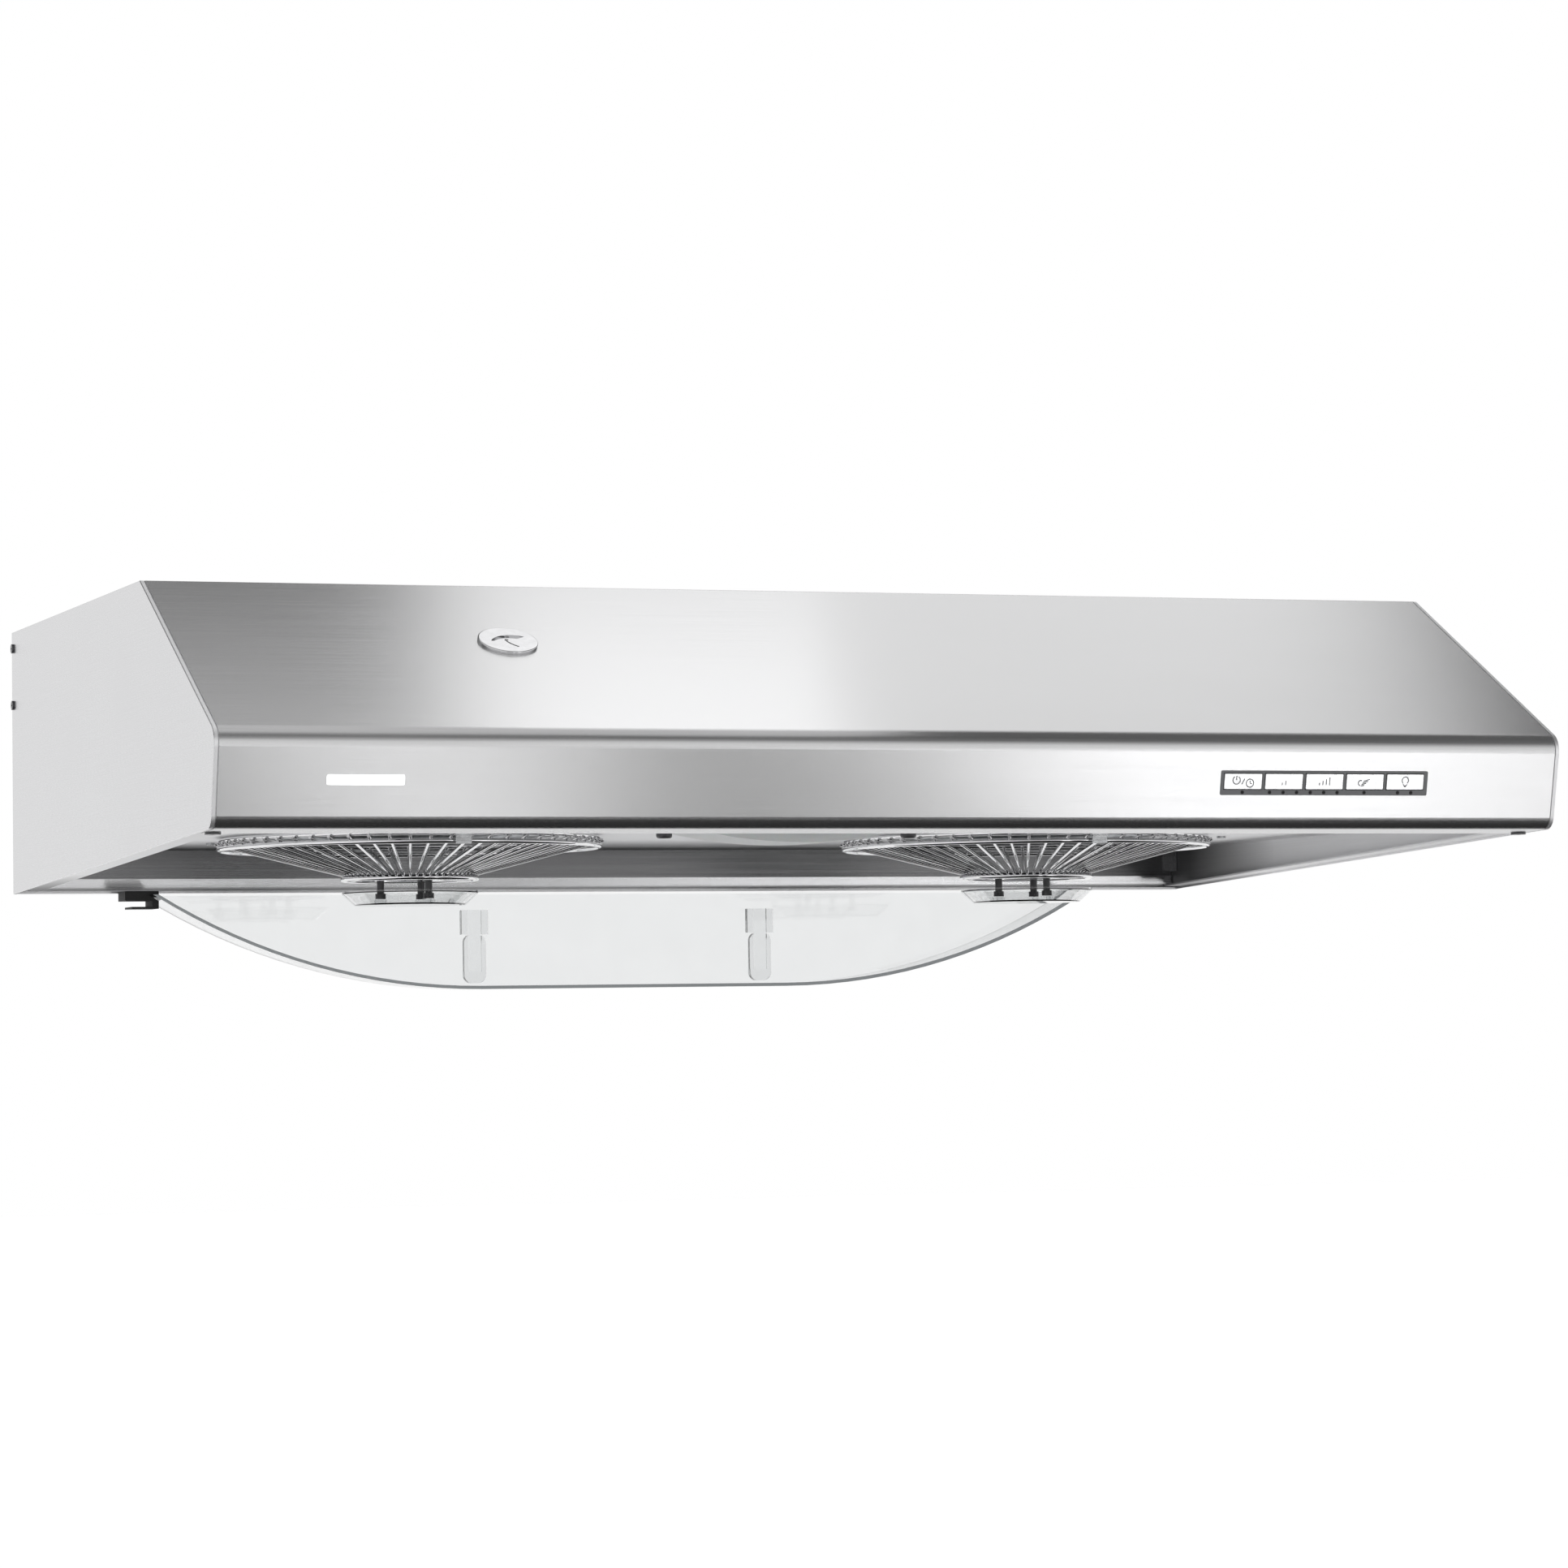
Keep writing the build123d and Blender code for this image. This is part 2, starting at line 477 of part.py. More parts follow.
# ---------------------------------------------------------------- controls
BEZEL = (123, 13.4)
BEZEL_PROUD = 0.5
BEZEL_DEPTH = 6
BUTTON = (22.2, 8.7)
BUTTON_PITCH = 24.15
BUTTON_UP = 0.85
BUTTON_PROUD = 0.4
BUTTON_PLAY = 0.25
BUTTON_TRAVEL = 1.2
BUTTON_DEPTH, STEM_R, STEM_LENGTH = 4, 1.5, 4
INDICATOR_R, INDICATOR_DOWN, INDICATOR_PROUD = 1.0, -5.1, 0.1
SPEED_LIGHTS, LAMP_LIGHTS = (-8, 0, 8), (-4, 4)  # offsets of a button's own indicators
BOARD_IN, BOARD, BOARD_THICK = 13, (119, 12), 1.6
BEZEL_LEG_X, BEZEL_LEG, SWITCH = 57, (5, 9), (6, 6)
BUTTON_NAMES = ("power_timer", "low_speed", "high_speed", "clean", "light")

button_xs = [(i - 2) * BUTTON_PITCH - 0.4 for i in range(len(BUTTON_NAMES))]
indicator_xs = [button_xs[0]]
indicator_xs += [button_xs[1] + shift for shift in SPEED_LIGHTS]
indicator_xs += [button_xs[2] + shift for shift in SPEED_LIGHTS]
indicator_xs += [button_xs[3]]
indicator_xs += [button_xs[4] + shift for shift in LAMP_LIGHTS]
bezel_body = (CUTOUT[0] - 0.2, CUTOUT[1] - 0.2)
bezel_back = fascia_plane(CONTROL_X, CONTROL_DOWN, -BEZEL_DEPTH)
board_face = fascia_plane(CONTROL_X, CONTROL_DOWN, -BOARD_IN)
bezel_cut = BEZEL_DEPTH + 2

with BuildPart() as control_bezel:
    with BuildSketch(fascia_plane(CONTROL_X, CONTROL_DOWN)):
        RectangleRounded(*BEZEL, 0.8)
    extrude(amount=BEZEL_PROUD)
    with BuildSketch(bezel_back):
        Rectangle(*bezel_body)
    extrude(amount=BEZEL_DEPTH)
    with BuildSketch(board_face):
        with Locations((-BEZEL_LEG_X, 0), (BEZEL_LEG_X, 0)):
            Rectangle(*BEZEL_LEG)
    extrude(amount=BOARD_IN - BEZEL_DEPTH)
    with BuildSketch(bezel_back):
        with Locations(*[(x, BUTTON_UP) for x in button_xs]):
            Rectangle(BUTTON[0] + 2 * BUTTON_PLAY, BUTTON[1] + 2 * BUTTON_PLAY)
    extrude(amount=bezel_cut, mode=Mode.SUBTRACT)
    with BuildSketch(bezel_back):
        with Locations(*[(x, INDICATOR_DOWN) for x in indicator_xs]):
            Circle(INDICATOR_R)
    extrude(amount=bezel_cut, mode=Mode.SUBTRACT)
save(control_bezel, "control_bezel")

with BuildPart() as indicator_lights:
    with BuildSketch(bezel_back):
        with Locations(*[(x, INDICATOR_DOWN) for x in indicator_xs]):
            Circle(INDICATOR_R - NEST)
    extrude(amount=BEZEL_DEPTH + BEZEL_PROUD + INDICATOR_PROUD)
save(indicator_lights, "indicator_lights")

for name, x in zip(BUTTON_NAMES, button_xs):
    with BuildPart() as button:
        with BuildSketch(fascia_plane(CONTROL_X + x, CONTROL_DOWN - BUTTON_UP, -BUTTON_DEPTH)):
            RectangleRounded(*BUTTON, 0.6)
        extrude(amount=BUTTON_DEPTH + BEZEL_PROUD + BUTTON_PROUD)
        fillet(button.faces().sort_by(Axis((0, 0, 0), (0, fascia_z, -fascia_y)))[-1].edges(), 0.3)
        stem_foot = fascia_plane(CONTROL_X + x, CONTROL_DOWN - BUTTON_UP, -BUTTON_DEPTH - STEM_LENGTH)
        disc(stem_foot, STEM_R, STEM_LENGTH + 0.5)
    save(button, f"{name}_button")

with BuildPart() as control_board:
    with BuildSketch(board_face):
        Rectangle(*BOARD)
    extrude(amount=-BOARD_THICK)
    with BuildSketch(board_face):
        with Locations(*[(x, BUTTON_UP) for x in button_xs]):
            Rectangle(*SWITCH)
    extrude(amount=BOARD_IN - BUTTON_DEPTH - STEM_LENGTH - BUTTON_TRAVEL - 0.3)
save(control_board, "control_board")

BADGE, BADGE_ROUND, BADGE_THICK, BADGE_X = (41, 5.5), 1.2, 0.4, -298.7
with BuildPart() as front_badge:
    with BuildSketch(fascia_plane(BADGE_X, CONTROL_DOWN)):
        RectangleRounded(*BADGE, BADGE_ROUND)
    extrude(amount=BADGE_THICK)
save(front_badge, "front_badge")

# ---------------------------------------------------------------- self-cleaning
CAP_R, CAP_THICK, CAP_ROUND = 16.25, 1.8, 0.7
NECK_R, NECK_WALL, NECK_FLANGE, NECK_LENGTH = 12.2, 1.4, 8, 80
PLUG_R, PLUG_LENGTH, PLUG_WALL = 12.0, 9, 1.5
GRIP_HALF, GRIP_RISE, GRIP_ARCS, GRIP_DEPTH = 10, (-2, 4), (14, 30), 0.9
RESERVOIR_X, RESERVOIR_Y, RESERVOIR_Z = (-240, -150), (-300, -200), (DECK_TOP, -80)
RESERVOIR_ROUND, RESERVOIR_WALL, RESERVOIR_INLET_R = 8, 2, 9
cap_plane = slope_plane(CAP_X, CAP_DOWN)

with BuildPart() as cleaner_inlet_cap:
    disc(cap_plane.offset(0.05), CAP_R, CAP_THICK)
    fillet(cleaner_inlet_cap.edges().sort_by(Axis((0, 0, 0), (0, slope_z, -slope_y)))[-1], CAP_ROUND)
    disc(cap_plane.offset(0.06), PLUG_R, -PLUG_LENGTH)
    disc(cap_plane.offset(-PLUG_LENGTH - 1), PLUG_R - PLUG_WALL, PLUG_LENGTH - 1, Mode.SUBTRACT)
    grip_left = (-GRIP_HALF, GRIP_RISE[0])
    grip_right = (GRIP_HALF, GRIP_RISE[1])
    with BuildSketch(cap_plane.offset(CAP_THICK - GRIP_DEPTH)):
        with BuildLine():
            RadiusArc(grip_left, grip_right, GRIP_ARCS[0])
            RadiusArc(grip_right, grip_left, GRIP_ARCS[1])
        make_face()
    extrude(amount=CAP_THICK, mode=Mode.SUBTRACT)
save(cleaner_inlet_cap, "cleaner_inlet_cap")

with BuildPart() as cleaner_inlet_neck:
    neck_top = cap_plane.offset(-SHEET - NEST)
    disc(neck_top, NECK_R + NECK_FLANGE, -NECK_WALL)
    disc(neck_top, NECK_R + NECK_WALL, -NECK_LENGTH)
    disc(cap_plane, NECK_R, -NECK_LENGTH - CUT, Mode.SUBTRACT)
    split(bisect_by=Plane(origin=(0, 0, RESERVOIR_Z[1])), keep=Keep.TOP)
save(cleaner_inlet_neck, "cleaner_inlet_neck")

neck_foot_y = cap_plane.origin.Y - slope_z * (cap_plane.origin.Z - RESERVOIR_Z[1]) / -slope_y
with BuildPart() as cleaner_reservoir:
    block(RESERVOIR_X, RESERVOIR_Y, RESERVOIR_Z)
    fillet(cleaner_reservoir.edges().filter_by(Axis.Z), RESERVOIR_ROUND)
    offset(amount=-RESERVOIR_WALL, mode=Mode.SUBTRACT)
    through(level(RESERVOIR_Z[1], CAP_X, neck_foot_y), RESERVOIR_INLET_R)
save(cleaner_reservoir, "cleaner_reservoir")

PUMP_X, PUMP_Y, PUMP_Z, PUMP_R = (-142, -92), -250, -112, 16
PUMP_FOOT_HALF, PUMP_FOOT_IN = 14, 5
PUMP_OUTLET_R, PUMP_OUTLET_IN, PUMP_OUTLET_RISE = 3.4, 12, 4
with BuildPart() as cleaner_pump:
    with BuildSketch(Plane(origin=(PUMP_X[0], PUMP_Y, PUMP_Z), x_dir=(0, 1, 0), z_dir=(1, 0, 0))):
        Circle(PUMP_R)
    extrude(amount=PUMP_X[1] - PUMP_X[0])
    foot_x = (PUMP_X[0] + PUMP_FOOT_IN, PUMP_X[1] - PUMP_FOOT_IN)
    block(foot_x, (PUMP_Y - PUMP_FOOT_HALF, PUMP_Y + PUMP_FOOT_HALF), (DECK_TOP, PUMP_Z))
    left_outlet_x, right_outlet_x = PUMP_X[0] + PUMP_OUTLET_IN, PUMP_X[1] - PUMP_OUTLET_IN
    with BuildSketch(level(PUMP_Z)):
        with Locations((left_outlet_x, PUMP_Y), (right_outlet_x, PUMP_Y)):
            Circle(PUMP_OUTLET_R)
    extrude(amount=PUMP_R + PUMP_OUTLET_RISE)
save(cleaner_pump, "cleaner_pump")

HOSE_R = 3
NOZZLE_LENGTH, NOZZLE_REACH = 26, 22  # the tube's whole length, and how far it stands out of the scroll
NOZZLE_SHOULDER_R, NOZZLE_SHOULDER_H = 6, 4
pump_outlet_z = PUMP_Z + PUMP_R + PUMP_OUTLET_RISE
nozzle_end_y = FAN_Y - VOLUTE_R - NOZZLE_REACH
with BuildPart() as spray_nozzles:
    for side in (-1, 1):
        disc(upright(side * FAN_X, nozzle_end_y, NOZZLE_Z), NOZZLE_R, -NOZZLE_LENGTH)
        shoulder = upright(side * FAN_X, FAN_Y - VOLUTE_R - half_step, NOZZLE_Z)
        disc(shoulder, NOZZLE_SHOULDER_R, NOZZLE_SHOULDER_H)
save(spray_nozzles, "spray_nozzles")

left_route = [
    (left_outlet_x, PUMP_Y, pump_outlet_z),
    (left_outlet_x, PUMP_Y, -62),
    (left_outlet_x - 20, PUMP_Y + 30, -50),
    (-FAN_X, nozzle_end_y - 45, -62),
    (-FAN_X, nozzle_end_y - 30, NOZZLE_Z),
    (-FAN_X, nozzle_end_y, NOZZLE_Z),
]
right_route = [
    (right_outlet_x, PUMP_Y, pump_outlet_z),
    (right_outlet_x, PUMP_Y, -70),
    (right_outlet_x + 35, PUMP_Y + 10, -58),
    (10, PUMP_Y + 22, -62),
    (75, PUMP_Y + 30, -70),
    (135, PUMP_Y + 32, -82),
    (FAN_X, nozzle_end_y - 45, NOZZLE_Z),
    (FAN_X, nozzle_end_y, NOZZLE_Z),
]
with BuildPart() as spray_hoses:
    add(tube(left_route, HOSE_R))
    add(tube(right_route, HOSE_R))
save(spray_hoses, "spray_hoses")
print("hose bend radii", [round(r, 1) for r in corner_radii(left_route) + corner_radii(right_route)])

# ---------------------------------------------------------------- lighting
LENS_SAG, LENS_WALL, LENS_ROUND = 7, 1.6, 6
LENS_RIM, LENS_HOLLOW_DEPTH = (8, 4), 42  # solid rim at the ends and the long sides, and the hollow's depth
LENS_EAR, LENS_EAR_HALF = 14, 10
LAMP_HEAD_R, LAMP_HEAD_H, LAMP_HEAD_ROUND, LAMP_SCREW_LENGTH = 4.5, 4, 1.5, 6
lens_half = LAMP_SIZE[0] / 2
lens_seat = DECK_Z - LENS_WALL


def lens_dome(y, plane_z, half, sag, depth, mode=Mode.ADD):
    """The space under a shallow arch from x = -half to half, extruded to the front."""
    with BuildSketch(upright(0, y, plane_z)) as dome:
        with BuildLine():
            chord = Line((-half, 0), (half, 0))
            ThreePointArc(chord @ 1, (0, -sag), chord @ 0)
        make_face()
    extrude(dome.sketch, amount=depth, mode=mode)


with BuildPart() as lamp_lens:
    ear_x = (-lens_half - LENS_EAR, lens_half + LENS_EAR)
    block(ear_x, (LAMP_Y - LENS_EAR_HALF, LAMP_Y + LENS_EAR_HALF), (lens_seat, DECK_Z))
    with BuildSketch(level(lens_seat, 0, LAMP_Y)):
        RectangleRounded(*LAMP_SIZE, LENS_ROUND)
    extrude(amount=LENS_WALL)
    lens_dome(LAMP_Y + LAMP_SIZE[1] / 2, lens_seat, lens_half - 1, LENS_SAG, LAMP_SIZE[1])
    hollow_y = LAMP_Y + LAMP_SIZE[1] / 2 - LENS_RIM[1]
    hollow_sag = LENS_SAG - LENS_WALL
    lens_dome(hollow_y, DECK_Z + 0.5, lens_half - LENS_RIM[0], hollow_sag, LENS_HOLLOW_DEPTH, Mode.SUBTRACT)
    for x in (-LAMP_SCREW_X, LAMP_SCREW_X):
        through(level(DECK_Z, x, LAMP_Y), SCREW_HOLE_R)
save(lamp_lens, "lamp_lens")

with BuildPart() as lamp_screws:
    for x in (-LAMP_SCREW_X, LAMP_SCREW_X):
        disc(level(lens_seat, x, LAMP_Y), LAMP_HEAD_R, -LAMP_HEAD_H)
        disc(level(lens_seat, x, LAMP_Y), SCREW_R, LAMP_SCREW_LENGTH)
    fillet(lamp_screws.edges().group_by(Axis.Z)[0], LAMP_HEAD_ROUND)
save(lamp_screws, "lamp_screws")

LAMP_BOX_HALF, LAMP_BOX_H, LAMP_BOX_SHEET = (66, 28), 26, 1.2
LAMP_BOARD_HALF, LAMP_BOARD_THICK = (60, 22), 1.78
LED, LED_PITCH, LED_COLUMNS = 5, 20, 6


def lamp_block(half, low, high, mode=Mode.ADD):
    """A box over the lamp, from heights above the deck."""
    x = (-half[0], half[0])
    block(x, (LAMP_Y - half[1], LAMP_Y + half[1]), (DECK_TOP + low, DECK_TOP + high), mode)


with BuildPart() as lamp_housing:
    inside = [half - LAMP_BOX_SHEET for half in LAMP_BOX_HALF]
    lamp_block(LAMP_BOX_HALF, 0, LAMP_BOX_H)
    lamp_block(inside, 0, LAMP_BOX_H - LAMP_BOX_SHEET, Mode.SUBTRACT)
save(lamp_housing, "lamp_housing")

with BuildPart() as lamp_board:
    board_top = LAMP_BOX_H - LAMP_BOX_SHEET - NEST
    lamp_block(LAMP_BOARD_HALF, board_top - LAMP_BOARD_THICK, board_top)
    with BuildSketch(level(DECK_TOP + board_top - LAMP_BOARD_THICK, 0, LAMP_Y)):
        with GridLocations(LED_PITCH, LED_PITCH, LED_COLUMNS, 2):
            Rectangle(LED, LED)
    extrude(amount=-1)
save(lamp_board, "lamp_board")

# ---------------------------------------------------------------- electrics
TERMINAL_X, TERMINAL_Y, TERMINAL_Z = (268, 352), (112, 164), (DECK_TOP, -78)
TERMINAL_ROUND, TERMINAL_WALL = 3, 1.2
with BuildPart() as terminal_box:
    block(TERMINAL_X, TERMINAL_Y, TERMINAL_Z)
    fillet(terminal_box.edges().filter_by(Axis.Z), TERMINAL_ROUND)
    offset(amount=-TERMINAL_WALL, mode=Mode.SUBTRACT)
save(terminal_box, "terminal_box")

CAPACITOR_X, CAPACITOR_Y, CAPACITOR_R, CAPACITOR_H = 318, -100, 14, 55
CAPACITOR_STUD_R, CAPACITOR_STUD_H = 5, 6
with BuildPart() as motor_capacitors:
    for x in (-CAPACITOR_X, CAPACITOR_X):
        disc(level(DECK_TOP, x, CAPACITOR_Y), CAPACITOR_R, CAPACITOR_H)
        disc(level(DECK_TOP + CAPACITOR_H, x, CAPACITOR_Y), CAPACITOR_STUD_R, CAPACITOR_STUD_H)
save(motor_capacitors, "motor_capacitors")

CABLE_R, GLAND_LENGTH, GLAND_RIM, GLAND_RIM_H = 5.5, 16, 4, 3
with BuildPart() as cable_gland:
    gland_plane = upright(GLAND_X, BACK_Y, GLAND_Z)
    disc(gland_plane, GLAND_HOLE_R - 0.1, GLAND_LENGTH)
    disc(gland_plane.offset(SHEET + NEST), GLAND_HOLE_R + GLAND_RIM, GLAND_RIM_H)
    disc(gland_plane, CABLE_R, GLAND_LENGTH, Mode.SUBTRACT)
save(cable_gland, "cable_gland")

LEAD_R = 1.8
lead_routes = [
    [
        (FAN_X + 45.5, FAN_Y + 10, -24), (FAN_X + 85, FAN_Y + 25, -28), (300, 50, -40), (310, 100, -50),
        (310, 138, -75),
    ],
    [
        (-FAN_X + 45.5, FAN_Y + 10, -24), (-105, FAN_Y + 8, -24), (-50, FAN_Y + 2, -30),
        (20, FAN_Y - 2, -36), (85, FAN_Y - 46, -36), (150, FAN_Y - 68, -32), (225, FAN_Y - 64, -28),
        (285, FAN_Y - 20, -28), (322, 40, -36), (334, 100, -50), (334, 138, -75),
    ],
    [
        (68, LAMP_Y, -108), (110, LAMP_Y - 22, -104), (165, -178, -100), (230, -184, -100),
        (290, -165, -104), (334, -120, -110), (362, -60, -112), (362, 20, -112), (346, 88, -112),
        (330, 110, -112),
    ],
    [
        (CONTROL_X + 55, -330, -108), (CONTROL_X + 60, -300, -112), (320, -250, -116),
        (352, -190, -120), (367, -120, -122), (368, -40, -122), (366, 40, -122), (352, 90, -122),
        (338, 110, -122),
    ],
]
with BuildPart() as wiring_leads:
    for route in lead_routes:
        add(tube(route, LEAD_R))
save(wiring_leads, "wiring_leads")
print("lead bend radii", [round(r, 1) for route in lead_routes for r in corner_radii(route)])

# ---------------------------------------------------------------- grilles and oil cups
GRILLE_R, INNER_RING_R = 108, 37.5
RING_WIRE_R, SPOKE_R, SPOKES = 1.5, 0.9, 60
SPOKE_INNER, SPOKE_OUTER = (36.2, -153.3), (111, -134.4)
HUB_PLATE_R, HUB_PLATE_Z = (13.5, 20.5), (-156.4, -155.2)
ARM_ANGLE, ARM_WIDTH = -120, 5
POST_ANGLE, POST_CIRCLE, POST_R, GRIP_R = -67, 17, 2.1, 3.0
POST_TOP, GRIP_Z = -153.6, (-166.4, -163.4)
CUP_RIM_R, CUP_RIM_Z, CUP_TAPER_Z = 39, -162.2, -163.6
CUP_FOOT_R, CUP_FOOT_Z, CUP_WALL = 31.5, -170.4, 1.4
BOSS_R, BOSS_TOP = 3.6, -166.8
CLIP_ANGLES, CLIP_WIDTH, CLIP_R, CLIP_DROP, CLIP_SHEET = (-90, 90), 9, 112.6, 8.5, 0.8
CLIP_FOOT, CLIP_RIVET_R, CLIP_RIVET_H, CLIP_RIVET_OUT = 13, 2.6, 1.4, 7
CLIP_RIB_RISES, CLIP_RIB_OUT = (1, 4), 1.2

spoke_length = hypot(SPOKE_OUTER[0] - SPOKE_INNER[0], SPOKE_OUTER[1] - SPOKE_INNER[1])
spoke_out = (SPOKE_OUTER[0] - SPOKE_INNER[0]) / spoke_length
spoke_up = (SPOKE_OUTER[1] - SPOKE_INNER[1]) / spoke_length
ring_lift = RING_WIRE_R + SPOKE_R + NEST
cup_floor = CUP_FOOT_Z + CUP_WALL


def ring_centre(radius, lift):
    """Centre of a ring's wire beside the spokes, `lift` mm above or below their middle line."""
    along = (radius - SPOKE_INNER[0]) / spoke_out
    z = SPOKE_INNER[1] + along * spoke_up
    return (radius - lift * spoke_up, z + lift * spoke_out)


for hand, side in (("left", -1), ("right", 1)):
    centre = (side * FAN_X, FAN_Y, 0)
    section = upright(*centre)
    with BuildPart() as grille_rings:
        with BuildSketch(section):
            rings = (ring_centre(GRILLE_R, ring_lift), ring_centre(GRILLE_R, -ring_lift))
            with Locations(*rings, ring_centre(INNER_RING_R, -ring_lift)):
                Circle(RING_WIRE_R)
        revolve(axis=Axis(centre, (0, 0, 1)))
        with BuildSketch(level(HUB_PLATE_Z[0], side * FAN_X, FAN_Y)) as hub_plate:
            Circle(HUB_PLATE_R[1])
            with PolarLocations(0, 3, start_angle=ARM_ANGLE):
                with Locations((INNER_RING_R / 2, 0)):
                    Rectangle(INNER_RING_R, ARM_WIDTH)
            Circle(HUB_PLATE_R[0], mode=Mode.SUBTRACT)
            with PolarLocations(POST_CIRCLE, 3, start_angle=POST_ANGLE):
                Circle(POST_R + NEST, mode=Mode.SUBTRACT)
        extrude(hub_plate.sketch, amount=HUB_PLATE_Z[1] - HUB_PLATE_Z[0])
    save(grille_rings, f"{hand}_grille_rings")

    with BuildPart() as spoke:
        with BuildSketch(Plane(origin=(SPOKE_INNER[0], 0, SPOKE_INNER[1]), z_dir=(spoke_out, 0, spoke_up))):
            Circle(SPOKE_R)
        extrude(amount=spoke_length)
    with BuildPart() as grille_spokes:
        with Locations(centre):
            with PolarLocations(0, SPOKES, start_angle=180 / SPOKES):
                add(spoke.part)
    save(grille_spokes, f"{hand}_grille_spokes")

    with BuildPart() as cup_posts:
        with Locations(centre):
            with PolarLocations(POST_CIRCLE, 3, start_angle=POST_ANGLE):
                for radius, low, high in (
                    (POST_R, GRIP_Z[1], POST_TOP),
                    (GRIP_R, HUB_PLATE_Z[1], POST_TOP),
                    (GRIP_R, *GRIP_Z),
                ):
                    with Locations((0, 0, low)):
                        Cylinder(radius, high - low, align=(Align.CENTER, Align.CENTER, Align.MIN))
    save(cup_posts, f"{hand}_cup_posts")

    with BuildPart() as oil_cup:
        with BuildSketch(section):
            with BuildLine():
                Polyline(
                    (0, CUP_FOOT_Z),
                    (CUP_FOOT_R, CUP_FOOT_Z),
                    (CUP_RIM_R, CUP_TAPER_Z),
                    (CUP_RIM_R, CUP_RIM_Z),
                    (CUP_RIM_R - CUP_WALL, CUP_RIM_Z),
                    (CUP_RIM_R - CUP_WALL, CUP_TAPER_Z + 0.6),
                    (CUP_FOOT_R - CUP_WALL + 0.8, cup_floor),
                    (0, cup_floor),
                    close=True,
                )
            make_face()
        revolve(axis=Axis(centre, (0, 0, 1)))
        with BuildSketch(level(cup_floor, side * FAN_X, FAN_Y)) as bosses:
            with PolarLocations(POST_CIRCLE, 3, start_angle=POST_ANGLE):
                Circle(BOSS_R)
        extrude(bosses.sketch, amount=BOSS_TOP - cup_floor)
    save(oil_cup, f"{hand}_oil_cup")

with BuildPart() as clip:
    clip_y = (-CLIP_WIDTH / 2, CLIP_WIDTH / 2)
    block((CLIP_R, CLIP_R + CLIP_SHEET), clip_y, (DECK_Z - CLIP_DROP, DECK_Z))
    block((CLIP_R, CLIP_R + CLIP_FOOT), clip_y, (DECK_Z - CLIP_SHEET, DECK_Z))
    disc(level(DECK_Z - CLIP_SHEET, CLIP_R + CLIP_RIVET_OUT), CLIP_RIVET_R, -CLIP_RIVET_H)
    for rise in CLIP_RIB_RISES:
        rib_z = DECK_Z - CLIP_DROP + rise
        rib_x = (CLIP_R + CLIP_SHEET, CLIP_R + CLIP_SHEET + CLIP_RIB_OUT)
        block(rib_x, clip_y, (rib_z, rib_z + CLIP_SHEET))
with BuildPart() as grille_clips:
    for side in (-1, 1):
        with Locations((side * FAN_X, FAN_Y, 0)):
            for angle in CLIP_ANGLES:
                with PolarLocations(0, 1, start_angle=angle):
                    add(clip.part)
save(grille_clips, "grille_clips")

# ---------------------------------------------------------------- rear oil tray
TRAY_FLAT, TRAY_BEND_R, TRAY_FLOOR_Z, TRAY_RIM_Z = 98, 385, -217, -158.6
TRAY_Y, TRAY_WALL = (139, 175), 2
POCKET_X, POCKET_Y = 93, (TRAY_Y[1], 179.2)
POCKET_HEAD, POCKET_BODY = (17, -183, -168), (13.8, -213, -183)  # width, foot and top
POCKET_SLOT, POCKET_SLOT_Y, POCKET_ROUND = (9, -206, -167), (176.4, 178), 5
bend_centre_z = TRAY_FLOOR_Z + TRAY_BEND_R


def tray_section(y, inset, top):
    """The tray's front outline: a flat floor and two upswept arcs, cut off level at `top`."""
    radius = TRAY_BEND_R - inset
    sweep_angle = degrees(acos((bend_centre_z - top) / radius))
    with BuildSketch(upright(0, y, 0)) as front:
        with BuildLine():
            right = CenterArc((TRAY_FLAT, bend_centre_z), radius, -90, sweep_angle)
            left = CenterArc((-TRAY_FLAT, bend_centre_z), radius, -90, -sweep_angle)
            Line(left @ 0, right @ 0)
            Line(left @ 1, right @ 1)
        make_face()
    return front.sketch


with BuildPart() as rear_oil_tray:
    extrude(tray_section(TRAY_Y[1], 0, TRAY_RIM_Z), amount=TRAY_Y[1] - TRAY_Y[0])
    inner_depth = TRAY_Y[1] - TRAY_Y[0] - 2 * TRAY_WALL
    inner_section = tray_section(TRAY_Y[1] - TRAY_WALL, TRAY_WALL, TRAY_RIM_Z + CUT)
    extrude(inner_section, amount=inner_depth, mode=Mode.SUBTRACT)
    for x in (-POCKET_X, POCKET_X):
        width, foot, top = POCKET_HEAD
        block((x - width / 2, x + width / 2), POCKET_Y, (foot, top))
        width, foot, top = POCKET_BODY
        with BuildSketch(upright(x, POCKET_Y[1], 0)) as body:
            with Locations((0, (foot + top) / 2)):
                Rectangle(width, top - foot)
            fillet(body.vertices().group_by(Axis.Z)[0], POCKET_ROUND)
        extrude(body.sketch, amount=POCKET_Y[1] - POCKET_Y[0])
        width, foot, top = POCKET_SLOT
        block((x - width / 2, x + width / 2), POCKET_SLOT_Y, (foot, top), Mode.SUBTRACT)
save(rear_oil_tray, "rear_oil_tray")

